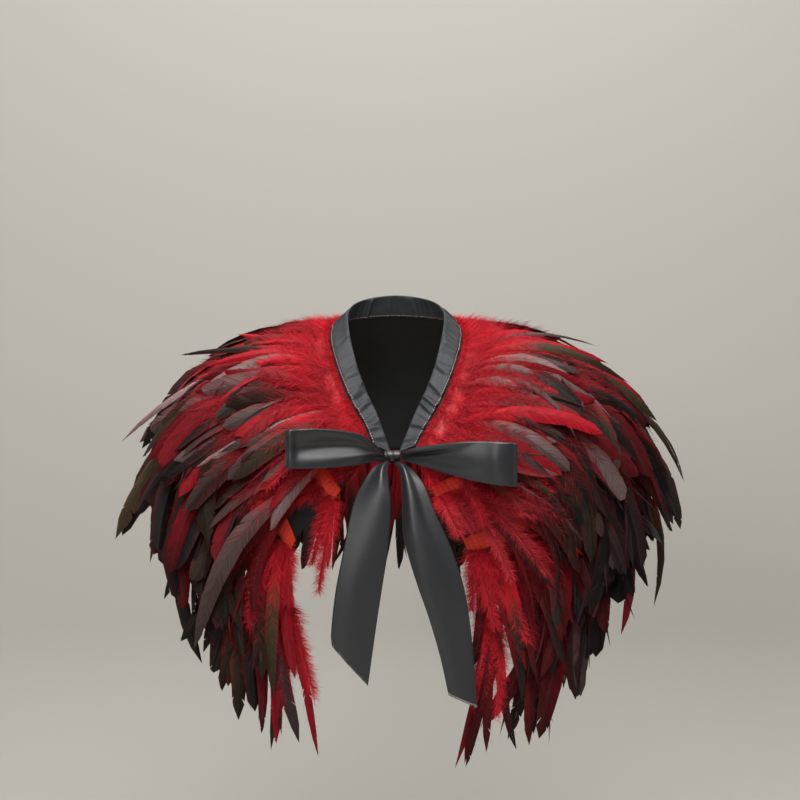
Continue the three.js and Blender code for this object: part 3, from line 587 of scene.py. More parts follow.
class Feathers:
    """A row of feathers as arrays with one entry for each feather: where it is sewn (u, s), its length,
    width, lean, sideways curl, roll about its shaft, how far it lies above the cloth, and its dyes, whose
    shade holds painted shade down the tiers and on the right as well as their own spread of brightness."""

    def __init__(self, tier, u, draw):
        count = len(u)

        def between(low, high):
            return draw.uniform(low, high, count)

        self.tier, self.u, self.draw, self.count = tier, u, draw, count
        to_edge = np.minimum(u, LAST - u)
        side = bell(to_edge, 3.4, 1.6)
        top = bell(to_edge, 4, 0.7) * tier["at_neck"]
        narrow = between(0, 1) < tier["narrow"]
        trimmed = (1 - row_share(u, LENGTH)) * tier["trim"] + tier["cut_side"] * bell(to_edge, 2.9, 0.9)
        self.length = tier["length"] * (1 - trimmed) * between(0.8, 1.06)
        self.width = tier["width"] * np.where(narrow, between(0.34, 0.58), between(0.68, 1.1))
        from_edge = np.exp(-u / 1.2) - np.exp(-(LAST - u) / 1.2)
        self.lean = np.radians(draw.normal(0, 1, count) * (6 + 4 * side) + tier["part"] * from_edge)
        self.curl = np.radians(draw.normal(0, 13, count))
        self.roll = np.radians(draw.normal(0, 20, count)) + round_shoulder(u)
        self.layer = between(0, 1)
        self.bow = between(-0.01, 0.05)
        self.slant = between(1.1, 1.9)
        self.droop = between(0.15, 0.55)
        self.blunt = np.where(narrow, between(1.4, 2.4), between(2, 5.5))
        self.taper = np.where(narrow, between(0.8, 1.2), between(0.45, 0.85))
        pick = between(0, 1)
        other = np.where(pick > 1 - tier["grey"] * (1 - 0.4 * side), GREY_ONE, DARK_ONE)
        self.kind = np.where(pick < tier["red"] * (1 - 0.25 * side), RED_ONE, other)
        self.kind[between(0, 1) < 0.85 * np.maximum(np.clip(1.4 - to_edge, 0, 1), top)] = RED_ONE
        self.turn = between(0.28, 0.5) + 0.15 * top
        self.downy = np.clip(1.3 - to_edge, 0, 1)
        # Painted shade: the right side's dyes are darker, away from the light on the left
        painted_right_shade = (1 - tier["right_painted_brightness"]) * smooth(LAST / 2, LAST / 2 + 2, u)
        # Each feather's shade: a random spread of its own brightness, times the painted shade down the
        # tiers and on the right
        self.shade = tier["painted_tier_shade"] * between(0.55, 1.2) * (1 + 0.35 * self.downy) * (1 - painted_right_shade)
        self.warm = between(0, 1)
        self.pale = between(0, 1) ** (1 if tier["at_neck"] else 1.6)
        self.width *= (1 - 0.45 * self.downy) * np.where(narrow, 1, 1 + 0.22 * side)
        self.tipped = between(0, 0.75)
        self.painted_rose_highlight = np.zeros(count)
        self.red_edge = 0.5

    def shafts(self):
        """The line of each shaft: down the cloth with a lean and a curl, standing off it by the rise, its
        layer and a bow."""
        tier = self.tier
        a = np.linspace(0, 1, STATIONS)
        down = a * self.length[:, None]
        s = tier["at"] + down / PITCH
        pace = np.linalg.norm(round_at(self.u[:, None] + 0 * s, s), axis=2)
        sideways = np.tan(self.lean)[:, None] * down + np.tan(self.curl)[:, None] * down * a * 0.6
        u = self.u[:, None] + sideways / pace
        left, right = tier["pressed"]
        lower = 1 - left * bell(u, SHOULDER_SEAMS[0], 1) - right * bell(u, SHOULDER_SEAMS[1], 1)
        height = (SEAM_GAP + ROOT_DEPTH + tier["rise"] * lower * row_share(u, RISE) * down
                  + np.minimum(down / SPREAD_BY, 1) * self.layer[:, None] * LAYER_SPAN
                  + (self.bow * self.length)[:, None] * np.sin(np.pi * a))
        out = outward(u, s)
        return self.frames(a, cloth(u, s) + out * height[..., None], out)

    def to_tips(self, tips, steep, curl):
        """The line of each listed shaft: a bend of second degree from the tape, along the cloth and
        steeply off it, to the given tip, with a sideways curl."""
        at = self.tier["at"]
        a = np.linspace(0, 1, STATIONS)[:, None]
        out = outward(self.u, at)
        root = cloth(self.u, at) + out * (SEAM_GAP + ROOT_DEPTH)
        down = unit(cloth(self.u, at + NEAR) - cloth(self.u, at))
        reach = np.linalg.norm(tips - root, axis=1)[:, None]
        knee = root + unit(down + out * steep[:, None]) * reach * 0.5
        root, knee, tips = root[:, None], knee[:, None], tips[:, None]
        line = root * (1 - a) ** 2 + 2 * knee * a * (1 - a) + tips * a ** 2
        front = np.array([0, -0.8, 0])
        face = unit(out[:, None] * (1.2 - a) + front * (0.3 + a))
        way = unit(np.cross(face, tips - root))
        line = line + way * (curl[:, None, None] * np.sin(np.pi * a))
        self.length = np.linalg.norm(np.diff(line, axis=1), axis=2).sum(1)
        return self.frames(a[:, 0], line, face)

    def frames(self, a, line, out):
        """Keep the line with the directions along, across and out at each station, the last two turned by
        the roll."""
        along = unit(np.gradient(line, axis=1))
        across = unit(np.cross(out, along))
        out = np.cross(along, across)
        roll = (self.roll[:, None] * smooth(0.1, 0.6, a))[..., None]
        self.a, self.line, self.along = a, line, along
        self.across = across * np.cos(roll) + out * np.sin(roll)
        self.out = out * np.cos(roll) - across * np.sin(roll)
        return self

    def per(self, values, a):
        """One value for each feather, shaped to go with a."""
        return values.reshape(-1, *[1] * (a.ndim - 1))

    def on_shaft(self, a, *lines):
        """Values of the stations at shares a along each shaft, straight between the stations."""
        x = np.clip(a, 0, 1) * (STATIONS - 1)
        i = np.minimum(np.floor(x).astype(int), STATIONS - 2)
        rows = self.per(np.arange(self.count), a)
        return [blend(values[rows, i], values[rows, i + 1], (x - i)[..., None]) for values in lines]

    def half_width(self, a):
        """Half the vane's width at a: it opens over the downy root and closes towards the tip, sooner on a
        pointed feather than on a blunt one."""
        opening = smooth(0.02, 0.38, a) ** 0.8
        closing = np.clip(1 - np.clip(a, 0, 1) ** self.per(self.blunt, a), 0, 1) ** self.per(self.taper, a)
        return self.per(self.width, a) / 2 * opening * closing

    def colour(self, a, v):
        """The dye at a along and v out from the shaft: bright red down at the root, then the feather's own
        kind, with a red edge on the grey and the dark ones, and darker towards the tip."""
        kind, warm, pale, shade, tipped, turn = (
            self.per(values, a)[..., None]
            for values in (self.kind, self.warm, self.pale, self.shade, self.tipped, self.turn))
        to_tip = smooth(0.5, 1, a)[..., None]
        red = blend(RED, CRIMSON, np.minimum(warm + self.tier["deep"], 1))
        grey = blend(SMOKE, PALE_MAUVE, pale) * (1 - 0.3 * warm) + ROSE * 0.3 * warm * pale
        dark = np.where(warm > 0.7, BROWN, np.where(warm > 0.33, OLIVE, GREEN_BLACK))
        body = np.where(kind == RED_ONE, red, np.where(kind == GREY_ONE, grey, dark))
        edge = smooth(0.5, 1, np.abs(v))[..., None] * self.red_edge * (kind != RED_ONE) * (1 - 0.5 * to_tip)
        body = blend(body, CRIMSON * 1.3, edge) * (1 - tipped * to_tip)
        root = BRIGHT_RED * (1 - 0.35 * warm) * np.minimum(shade, 0.95)
        # The body is scaled by the shade, which holds painted shade as well as the dyes' own spread
        return blend(root, body * shade, smooth(turn - 0.2, turn + 0.14, a[..., None]))


def vane_faces(f):
    """Each side of a vane is a grid: along the shaft where the barbs are rooted, and out along them on the
    shaft, half way and at the edge. The barbs lean to the tip, so a place further out is further
    along. A split is three close roots, of which the middle one's barbs end short. The vane droops
    with the square of the way out."""
    draw = f.draw
    even = np.linspace(TAPE_EDGE, 1, VANE_STEPS + 1) * np.ones((f.count, 2, 1))
    middle = draw.uniform(0.3, 0.96, (f.count, 2, SPLITS, 1))
    split = middle + draw.uniform(0.003, 0.012, middle.shape) * np.array([-1, 0, 1])
    deep = draw.uniform(0.1, 0.65, middle.shape) * np.array([0, 1, 0])
    roots = np.concatenate([even, split.reshape(f.count, 2, -1)], axis=2)
    notch = np.concatenate([0 * even, deep.reshape(f.count, 2, -1)], axis=2)
    order = np.argsort(roots, axis=2)
    roots = np.clip(np.take_along_axis(roots, order, 2), 0, 1)[..., None]
    notch = np.take_along_axis(notch, order, 2)[..., None]
    v = np.array([0, 0.5, 1.0])
    uneven = 1 + draw.normal(0, 0.035, roots.shape)
    length, slant, drooping, warm = (f.per(x, roots) for x in (f.length, f.slant, f.droop, f.warm))
    out_by = f.half_width(roots) * np.minimum(v, 1 - notch) * uneven
    a = roots + slant * out_by / length
    line, across, out = f.on_shaft(a, f.line, f.across, f.out)
    past = (np.maximum(a - 1, 0) * length)[..., None] * f.along[:, -1][:, None, None, None]
    sign = np.array([-1.0, 1.0])[:, None, None]
    droop = drooping * out_by * v
    wave = 0.35 * MM * np.sin(roots * 40 + warm * 20) * v
    points = line + past + across * (sign * out_by)[..., None] + out * (wave - droop)[..., None]
    uv = pairs(roots * length + f.per(np.arange(f.count), roots) * 0.37 + (sign > 0) * 0.11, out_by)
    rows = VANE_STEPS + 1 + 3 * SPLITS
    both_sides = np.concatenate([grid_quads(rows, 3, 0, True), grid_quads(rows, 3, rows * 3)])
    quads = copies(both_sides, f.count, rows * 6)
    return points.reshape(-1, 3), quads, (), uv, f.colour(roots, v * np.ones_like(a)).reshape(-1, 3)


def shaft_faces(f):
    """A shaft is a low ridge on the vane, two faces wide, from 0.5 mm at the root to almost nothing."""
    a = np.linspace(TAPE_EDGE, 0.97, SHAFT_STEPS + 1) * np.ones((f.count, 1))
    line, across, out = f.on_shaft(a, f.line, f.across, f.out)
    half = (0.45 * MM * (1 - 0.8 * a))[..., None]
    points = np.stack([line - across * half, line + out * half * 1.3, line + across * half], axis=2)
    quads = copies(grid_quads(SHAFT_STEPS + 1, 3, 0, True), f.count, 3 * (SHAFT_STEPS + 1))
    dye = np.repeat(f.colour(a, 0 * a) * 0.7 + 0.02, 3, axis=1)
    return points.reshape(-1, 3), quads, (), pairs(a[..., None] * 0.02, np.zeros(3)), dye.reshape(-1, 3)


def strands(root, start, end, length, thick, out, dye, steps=2):
    """Fine ribbons that leave their roots in one direction and turn steadily to another, in a few steps,
    as wide as thick across the outward direction, and narrowing to a point."""
    t = np.linspace(0, 1, steps + 1)
    path = (root[..., None, :] + (start[..., None, :] * t[:, None]
            + (end - start)[..., None, :] * (t ** 2)[:, None] / 2) * length[..., None, None])
    half = (thick[..., None] * (1 - 0.5 * t) / 2)[..., None]
    flat = unit(np.cross(start, out))[..., None, :]
    left, right = (path - flat * half)[..., :-1, :], (path + flat * half)[..., :-1, :]
    points = np.concatenate([left, right, path[..., -1:, :]], axis=-2).reshape(-1, 3)
    faces = np.arange(steps - 1)[:, None] + np.array([0, steps, steps + 1, 1])
    tip = np.array([[steps - 1, 2 * steps - 1, 2 * steps]])
    quads, triangles = (copies(one, length.size, 2 * steps + 1) for one in (faces, tip))
    where = np.concatenate([t[:-1], t[:-1], t[-1:]])
    uv = pairs(np.arange(length.size)[:, None] * 0.003, where * 0.02)
    fade = (0.8 + 0.35 * where)[:, None]
    return points, quads, triangles, uv, (dye[..., None, :] * fade).reshape(-1, 3)


def barb_strands(f, a, side, length, spread, lift, thick, bend, dye):
    """Loose barbs, one for each entry of a: from the shaft or the vane out to one side by a spread angle
    and up by a lift, bent back towards the feather's tip."""
    side, spread, lift, bend = (values[..., None] for values in (side, spread, lift, bend))
    origin, along, across, out = f.on_shaft(a, f.line, f.along, f.across, f.out)
    start = unit(across * side * np.cos(spread) + along * np.sin(spread) + out * lift)
    end = unit(start + along * bend - out * 0.35 * bend)
    return strands(origin, start, end, length, thick, out, dye)


def down_barbs(f, count, reach, fan, hang):
    """Down over a feather up to a share of its length, and further at the front edges: long soft barbs,
    closest at the root, at angles from across it (degrees), bent back along it, red there and more like
    the feather further on. On plumes the down stays red, paled towards rose further on as a painted
    highlight."""
    draw = f.draw
    size = (f.count, count)
    reach = np.minimum(reach + 0.35 * f.downy, 0.93)[:, None]
    a = TAPE_EDGE + reach * draw.beta(1.1, 1.3, size)
    side = draw.choice([-1.0, 1.0], size)
    length = draw.uniform(0.5, 1.15, size) * DOWN_LENGTH * (1 - 0.45 * a)
    spread = np.radians(draw.uniform(*fan, size))
    lift = draw.uniform(-0.1, 0.9, size)
    thick = draw.uniform(0.24, 0.45, size) * MM
    bend = draw.uniform(*hang, size)
    warm = draw.uniform(0, 1, size)[..., None]
    own = (0.65 * smooth(0.3, 0.6, a) * (f.painted_rose_highlight == 0)[:, None])[..., None]
    # Pale rose mixed into the plumes' down further along it: a painted highlight
    painted_rose_highlight = f.painted_rose_highlight[:, None, None] * smooth(0.1, 0.5, a)[..., None]
    red = blend(blend(BRIGHT_RED, RED, warm), ROSE * 2, painted_rose_highlight) * np.minimum(f.shade, 1.05)[:, None, None]
    dye = blend(red, f.colour(a, np.ones(size)), own) * draw.uniform(0.7, 1.25, (*size, 1))
    return barb_strands(f, a, side, length, spread, lift, thick, bend, dye)


def frayed_barbs(f, count):
    """Fine barb ends that stand out past the vane's edge, most towards the tip."""
    draw = f.draw
    size = (f.count, count)
    a = 0.25 + 0.72 * draw.beta(1.5, 1, size)
    side = draw.choice([-1.0, 1.0], size)
    length = f.half_width(a) * draw.uniform(1.2, 1.55, size) + 1.2 * MM
    spread = np.radians(draw.uniform(46, 60, size))
    lift, bend = draw.uniform(-0.12, 0.05, size), draw.uniform(0, 0.3, size)
    thick = np.full(size, 0.32 * MM)
    return barb_strands(f, a, side, length, spread, lift, thick, bend, f.colour(a, np.ones(size)))


def dyed_piece(name, parts, materials):
    """Several (points, quads, triangles, uv, dye, number of the material) as one piece."""
    starts = run_of([len(part[0]) for part in parts])
    points, uv, dye = (np.concatenate([part[k] for part in parts]) for k in (0, 3, 4))
    quads, triangles = (
        np.concatenate([np.asarray(part[k], int).reshape(-1, corners) + start
                        for part, start in zip(parts, starts)])
        for k, corners in ((1, 4), (2, 3)))
    finish = np.concatenate([np.full(len(part[k]), part[5]) for k in (1, 2) for part in parts])
    piece = add_mesh(name, points, quads, triangles, uv, dye, materials, finish)
    return piece


def directions(u, s):
    """The place on the cloth and the directions out of it, round the cape and down."""
    at, out = cloth(u, s), outward(u, s)
    return at, out, unit(round_at(u, s)), cloth(u, s + NEAR) - at


def ruff(tier, count, draw):
    """Down that stands up from the neck tape all round and lies away from the neck, longest half way down
    the tape, which it hides. It grows in tufts that share a turn and a shade."""
    tuft = draw.integers(0, TUFTS, count)
    u = np.clip(draw.uniform(0, LAST, TUFTS)[tuft] + draw.normal(0, 0.09, count), 0.02, LAST - 0.02)
    below = draw.uniform(-0.13, 0.5, TUFTS)[tuft] + draw.normal(0, 0.07, count)
    s = tier["at"] + np.clip(below, -0.14, 0.55)
    root, out, way, below = directions(u, s)
    down = np.cross(way, out)
    down = down * np.sign(np.sum(down * below, axis=1))[:, None]
    turn = draw.normal(0, 0.4, TUFTS)[tuft] + draw.normal(0, 0.2, count)
    length = draw.uniform(12, 30, count) * MM * (0.45 + 0.55 * smooth(0, 0.3, s))
    start = out * draw.uniform(0.2, 1, (count, 1)) + down * draw.uniform(0.15, 1, (count, 1))
    start = unit(start + way * turn[:, None])
    end = unit(start + down * draw.uniform(0.3, 1.5, (count, 1)))
    warm = draw.uniform(0, 1, TUFTS)[tuft][:, None] ** 1.5
    bright = draw.uniform(0.55, 1.45, TUFTS)[tuft] * draw.uniform(0.8, 1.2, count)
    thick = draw.uniform(0.25, 0.42, count) * MM
    root = root + out * (SEAM_GAP + TAPE_WALL)
    return strands(root, start, end, length, thick, out, blend(BRIGHT_RED, RED, warm) * bright[:, None])


def collar(count, draw):
    """Down that rises between the tape and the neckband, a little over the band's edge, and bends away."""
    u = draw.uniform(0.03, LAST - 0.03, count)
    s = draw.uniform(0, 0.1, count)
    root, out, way, down = directions(u, s)
    down = unit(down)
    start = out - down * draw.uniform(-0.6, 0.3, (count, 1))
    start = unit(start + way * draw.normal(0, 0.45, (count, 1)))
    end = unit(start + down * draw.uniform(0.9, 2.2, (count, 1)))
    dye = BRIGHT_RED * draw.uniform(0.55, 1.25, (count, 1))
    length, thick = draw.uniform(6, 15, count) * MM, draw.uniform(0.28, 0.45, count) * MM
    return strands(root + out * SEAM_GAP, start, end, length, thick, out, dye)


def front_plumes(tier, draw):
    """The listed red plumes of a tier: feathers with down all along them."""
    lengths, u_at = ruler(tier["at"])
    sides, inward, leans, curls, long, wide = (np.array(x) for x in zip(*FRONT_PLUMES[tier["name"]]))
    left = sides == "left"
    places = np.where(left, inward * MM, lengths[-1] - inward * MM)
    f = Feathers(tier, np.interp(places, lengths, u_at), draw)
    f.length, f.width = tier["length"] * long, tier["width"] * wide * 0.6
    f.lean, f.curl = np.radians(leans), np.radians(curls)
    f.kind[:] = RED_ONE
    # A painted highlight: the plumes' down is paled towards rose, most on the right plumes of the second
    # tier
    f.painted_rose_highlight = np.where(left | (tier["at"] != 1), 0.08, 0.22)
    f.layer = draw.uniform(0.2, 1.2, f.count)
    f.shade = draw.uniform(0.75, 1 if tier["at_neck"] else 1.15, f.count)
    return f.shafts()


def stray_feathers(tier, draw):
    """The listed feathers that stand out of a tier."""
    rows = np.array(STRAYS[tier["name"]])
    u, tips, (steep, width, curl, kind, bright) = rows[:, 0], rows[:, 1:4], rows[:, 4:].T
    f = Feathers(tier, u, draw)
    f.width, f.kind, f.shade, f.pale = width * MM, kind, bright, np.clip(bright - 0.6, 0, 1)
    f.roll = f.roll * 0.3
    f.warm = draw.uniform(0.1, 0.66, f.count)
    f.turn = np.where(kind == GREY_ONE, 0.22, draw.uniform(0.3, 0.45, f.count))
    f.red_edge = 0.2
    f.blunt, f.taper = draw.uniform(2.6, 5, f.count), draw.uniform(0.6, 0.9, f.count)
    return f.to_tips(tips * MM, steep, curl * MM)


def feather_parts(f, down, down_to, frays, fan=(20, 66), hang=(0.3, 1.5)):
    """Everything of some feathers: vanes, shafts, down on the shaft up to a share of it, frayed edges."""
    return [(*vane_faces(f), 0), (*shaft_faces(f), 0), (*down_barbs(f, down, down_to, fan, hang), 1),
            (*frayed_barbs(f, frays), 0)]


def feather_tier(tier, seed):
    """One tier: feathers evenly along the tape with their down and frayed edges, the red plumes at its
    front edges and its strays, joined into one mesh."""
    draw = np.random.default_rng(seed)
    lengths, u_at = ruler(tier["at"])
    first, last = tier["ends"]
    places = np.linspace(first, lengths[-1] - last, tier["count"])
    places[1:-1] += draw.uniform(-0.4, 0.4, tier["count"] - 2) * (places[1] - places[0])
    f = Feathers(tier, np.interp(places, lengths, u_at), draw).shafts()
    parts = feather_parts(f, tier["down"], tier["down_to"], tier["frays"])
    parts += feather_parts(front_plumes(tier, draw), **PLUME_DOWN)
    parts += feather_parts(stray_feathers(tier, draw), **STRAY_DOWN)
    if tier["at_neck"]:
        parts += [(*ruff(tier, RUFF_BARBS, draw), 1), (*collar(COLLAR_BARBS, draw), 1)]
    solid = "feather_" + tier["name"]
    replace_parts(dyed_piece(solid + "_feathers", parts, [VANE, DOWN_HAIR]), solid)


for number, tier in enumerate(TIERS):
    feather_tier(tier, FEATHER_SEED + number)

# Stitches and frayed threads

STITCH_ALONG = np.array([-0.5, -0.3, 0.3, 0.5])
STITCH_ACROSS = np.array([-0.5, 0, 0.5])
STITCH_LIFT = np.array([0, 1, 1, 0])[:, None] * np.array([0, 1, 0])
TO_FRONT = np.array([0, -1, 0.2])
SUNK = 0.08 * MM
THREAD_WIDTH = 0.3 * MM

def places_at(x, run, values):
    """Rows of values at distances x, straight between the rows at the distances run."""
    return np.stack([np.interp(x, run, values[:, k]) for k in range(3)], axis=1)


def stitches(name, lines, pitch, size, material):
    """Stitches a pitch apart along lines of points with the directions out at them. Each is a grid of four
    by three points over its length and width, sunk a little at its rim and raised in its middle."""
    length, width, height = size
    lift = STITCH_LIFT * height - SUNK
    points = []
    for path, out in lines:
        run = run_of(step_lengths(path))
        at = np.arange(pitch, run[-1] - pitch, pitch)
        middle, up = places_at(at, run, path), places_at(at, run, out)
        along = unit(places_at(at + length / 2, run, path) - middle)
        across = unit(np.cross(up, along))
        middle, along, across, up = (x[:, None, None] for x in (middle, along, across, up))
        points.append(middle + along * (STITCH_ALONG * length)[:, None, None]
                      + across * (STITCH_ACROSS * width)[:, None] + up * lift[..., None])
    points = np.concatenate(points)
    uv = np.tile(pairs((STITCH_ALONG * length)[:, None], STITCH_ACROSS * width), (len(points), 1))
    quads = copies(grid_quads(4, 3), len(points), 12)
    add_mesh(name, points.reshape(-1, 3), quads, (), uv, materials=[material])


def frayed_edge(edge, way, count, reach, dye, draw):
    """Threads from places along a cut edge, out of it in a way, each turned at random and bent."""
    at = draw.uniform(0, len(edge) - 1, count)
    root = places_at(at, np.arange(len(edge)), edge)
    along = unit(edge[-1] - edge[0])
    start = unit(way + along * draw.normal(0, 0.9, (count, 1)) + draw.normal(0, 0.25, (count, 3)))
    end = unit(start + draw.normal(0, 0.6, (count, 3)))
    length = draw.uniform(0.3, 1, count) * reach
    shades = dye * draw.uniform(0.6, 1.2, (count, 1))
    thick = np.full(count, THREAD_WIDTH)
    return (*strands(root - start * 0.5 * MM, start, end, length, thick, TO_FRONT, shades, 4), 0)


# Tapes

TAPE_STITCH = (2.6 * MM, 0.7 * MM, 0.4 * MM)
TAPE_STITCH_PITCH = 3.3 * MM
TAPE_LEAF = 0.6 * MM
BAR_PITCH, BAR_HEIGHT = 5 * MM, 0.35 * MM
LEFT_FRAYS, RIGHT_FRAYS = (16, 9 * MM), (22, 10 * MM)
TAPE_ORANGE = np.array([0.85, 0.12, 0.05])


def tape(tier):
    """A woven tape on the cloth, from front edge to front edge, with low bars across it, closest drawn
    near its ends, which show."""
    end, name, slot = 0.7, tier["name"], tier["slot"]
    u = np.concatenate([np.linspace(0, end, 60), np.linspace(end, LAST - end, LAST * 16)[1:-1],
                        np.linspace(LAST - end, LAST, 60)])[:, None]
    across = np.linspace(0, 1, 9)
    s = tier["at"] + TAPE_WIDTH / PITCH * (across - 0.5)
    lengths, u_at = ruler(tier["at"])
    along = np.interp(u, u_at, lengths)
    near_end = smooth(0.8, 0.5, np.minimum(u, LAST - u))
    ridge = np.abs(np.sin(along * np.pi / BAR_PITCH)) ** 0.6 * np.sin(np.pi * across) ** 0.3
    height = SEAM_GAP + TAPE_WALL + BAR_HEIGHT * ridge * near_end
    front = cloth(u, s) + outward(u, s) * height[..., None]
    cover, thread = (NECK_TAPE_CLOTH, RED_THREAD) if tier["at_neck"] else (TAPE_CLOTH, THREAD)
    piece = cloth_piece(name + "_tape", front, TAPE_LEAF, cover)
    out = grid_normals(front)
    lines = [(front[:, j], out[:, j]) for j in (1, 7)]
    stitches(name + "_stitches", lines, TAPE_STITCH_PITCH, TAPE_STITCH, thread)
    draw = np.random.default_rng(TAPE_SEED + int(tier["at"]))
    way = unit(round_at(np.array([0.1, LAST - 0.1]), tier["at"]))
    edges = [frayed_edge(front[0], -way[0], *LEFT_FRAYS, TAPE_ORANGE, draw),
             frayed_edge(front[-1], way[1], *RIGHT_FRAYS, TAPE_ORANGE, draw)]
    dyed_piece(name + "_frays", edges, [DOWN_HAIR])


for tier in TIERS:
    tape(tier)

# Base cloth

BASE_TO = 3 + TAPE_WIDTH / 2 / PITCH
BASE_FROM = -6.5 * MM / PITCH
CLOTH_WALL = 0.7 * MM
CLOTH_IN, FOLD_DEPTH = 0.25 * MM, 0.9 * MM


def base_panel(name, u_from, u_to):
    """A panel of the base cloth between two seams, with soft upright folds that fade at the tapes."""
    seam = 0.006
    count = (u_to - u_from) * 12 + 1
    u = np.linspace(u_from + seam * (u_from > 0), u_to - seam * (u_to < LAST), count)[:, None]
    s = np.linspace(BASE_FROM, BASE_TO, 61)
    free = np.sin(np.pi * np.clip(s, 0, 3)) ** 2 * (s > 0)
    fold = np.sin(5.1 * u + 1.3 * np.sin(2.3 * u)) * 0.5 + 0.5
    height = -CLOTH_IN - FOLD_DEPTH * free * fold
    front = cloth(u, s) + outward(u, s) * height[..., None]
    piece = cloth_piece(name + "_cloth", front, CLOTH_WALL, BASE_CLOTH)
    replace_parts(piece, name)


base_panel("base_front_left", 0, SHOULDER_SEAMS[0])
base_panel("base_back", SHOULDER_SEAMS[0], SHOULDER_SEAMS[1])
base_panel("base_front_right", SHOULDER_SEAMS[1], LAST)

# Neckband

RIBBON_WALL = 0.5 * MM
BAND_LEAF_EDGE = 1.2 * MM
# Puckers across the band, listed: at u, how wide (rows), how deep and how far it slants towards the front
BAND_PUCKERS = [
    (0.35, 0.12, 0.5, 0.1), (0.75, 0.16, 0.8, 0.15), (1.2, 0.14, 0.6, -0.1), (1.62, 0.2, 1.5, 0.12),
    (2.15, 0.16, 1.1, 0.2), (2.7, 0.2, 0.7, 0.1), (3.4, 0.2, 0.8, 0.1), (4.6, 0.18, 0.6, -0.2),
    (6.1, 0.24, 0.7, 0.1), (7.6, 0.2, 0.6, -0.1), (9.2, 0.18, 0.7, 0.15), (10.5, 0.16, 0.7, 0.1),
    (11.3, 0.16, 0.8, -0.12), (11.85, 0.15, 1.0, -0.15), (12.3, 0.16, 1.7, -0.1),
    (12.62, 0.13, 1.5, -0.12), (13.2, 0.16, 0.8, 0.1), (13.6, 0.12, 0.5, 0.1),
]
BAND_STITCH = (2.2 * MM, 0.8 * MM, 0.45 * MM)
BAND_STITCH_PITCH = 3.2 * MM
LEAF_STAND, FOLD_STAND = 2.45 * MM, 1.25 * MM  # from the cloth's middle, at the seam and near the fold
PUCKER_DEPTH = 3.4


def pucker_height(x):
    """A pucker's height over the place x in widths: a slow rise and a sharp fall."""
    return np.where(x < 0, np.exp(-x ** 2), np.exp(-(x / 0.2) ** 2))


def rounded(x, power):
    """1 for most of the way from 0 to 1, and round down to 0 at the end."""
    return np.sqrt(np.clip(1 - x ** power, 0, 1))


def neckband():
    """The ribbon round its fold: out on the outer leaf's edge, up over the fold and down inside. Its leaves
    stand off the cloth's middle by a thickness that narrows to the fold, and puckers cross them."""
    row = np.linspace(0, LAST, LAST * 30 + 1)
    u, band = row[:, None], band_vector(row)
    seam, normal = cloth(row, 0), outward(row, 0)
    free = np.linalg.norm(band, axis=1)[:, None] - BAND_LEAF_EDGE
    q = np.linspace(1, -1, 33)
    toward_fold = np.sin(np.pi / 2 * (1 - np.abs(q)) ** 0.75)
    up = BAND_LEAF_EDGE + free * toward_fold
    stand = blend(LEAF_STAND, FOLD_STAND, smooth(0.1, 0.75, toward_fold)) * rounded(toward_fold, 14)
    pucker = 0
    for at, wide, deep, slant in BAND_PUCKERS:
        pucker = pucker + deep * MM * pucker_height((u - at - slant * toward_fold) / wide)
    pucker = pucker * (0.5 + 0.5 * toward_fold)
    lean = u + 0.06 * toward_fold * np.sin(u * 2.7)
    fine = 0.3 * np.sin(lean * 31 + 2 * np.sin(lean * 7.3))
    ripple = MM * (fine + 0.35 * np.sin(lean * 13 + 3 * np.sin(lean * 2.9)))
    stand = (stand + (pucker * PUCKER_DEPTH + ripple) * rounded(toward_fold, 6)) * -np.sign(q)
    middle = seam - normal * 0.75 * MM
    front = middle[:, None] + unit(band)[:, None] * up[..., None] + normal[:, None] * stand[..., None]
    piece = cloth_piece("neckband_ribbon", front, RIBBON_WALL, BAND_SATIN)
    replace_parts(piece, "neckband")
    out = grid_normals(front)
    rims = [(blend(front[:, j], front[:, k], 0.35), out[:, j]) for j, k in ((0, 1), (32, 31))]
    stitches("neckband_stitches", rims, BAND_STITCH_PITCH, BAND_STITCH, PALE_THREAD)


neckband()

# The bow: rows of the loops (x, upper and lower edge z, front and back wall y) and of the tails (left edge
# x and z, right edge x and z, y), in millimetres

LOOPS_MM = {
    "bow_loop_left": [(-12.4, -108.6, -117.4, -102.5, -97), (-24, -98, -118.5, -116, -106),
                      (-38, -90, -121, -128, -114), (-70, -85.5, -123, -143, -130),
                      (-96, -86, -123, -151, -140), (-106, -87, -123, -147, -147)],
    "bow_loop_right": [(6.4, -108.6, -117.4, -102.5, -97), (20, -104, -120.5, -118, -109),
                       (58, -98.5, -131, -142, -131), (85, -97.5, -137, -151, -140),
                       (106, -98.5, -139.5, -155, -145), (116, -99, -140, -151, -151)],
}
TAILS_MM = {
    "bow_tail_left": [(-11, -117.9, -5, -118.3, -98.5), (-23, -125, -8, -127, -113),
                      (-37, -148, -6, -143, -122), (-44, -170, -4.5, -163, -128),
                      (-51, -206, -7, -200, -133), (-58, -243, -12.6, -236, -135),
                      (-62, -280, -19, -278, -135), (-61.4, -294.5, -26.6, -333, -134)],
    "bow_tail_right": [(-3.4, -118.3, 4.6, -117.9, -98.5), (4.5, -130, 16.5, -126, -113),
                       (6.5, -157, 28, -141, -122), (7.6, -189, 39, -168, -129),
                       (13, -211, 53.6, -200, -133), (22, -239, 64.6, -233.6, -136),
                       (31.5, -266, 70, -261, -136), (42.6, -304, 74.5, -300, -135),
                       (50.8, -341.4, 78.4, -353.4, -135)],
}
FRAY_IN, FRAY_REACH = 1.8 * MM, 5 * MM
PALE_DYE = np.array([0.42, 0.39, 0.36])
ACROSS = np.linspace(0, 1, 33)
MIDDLE = 16  # the place in ACROSS of the ribbon's middle
ALONG_STEPS = 121


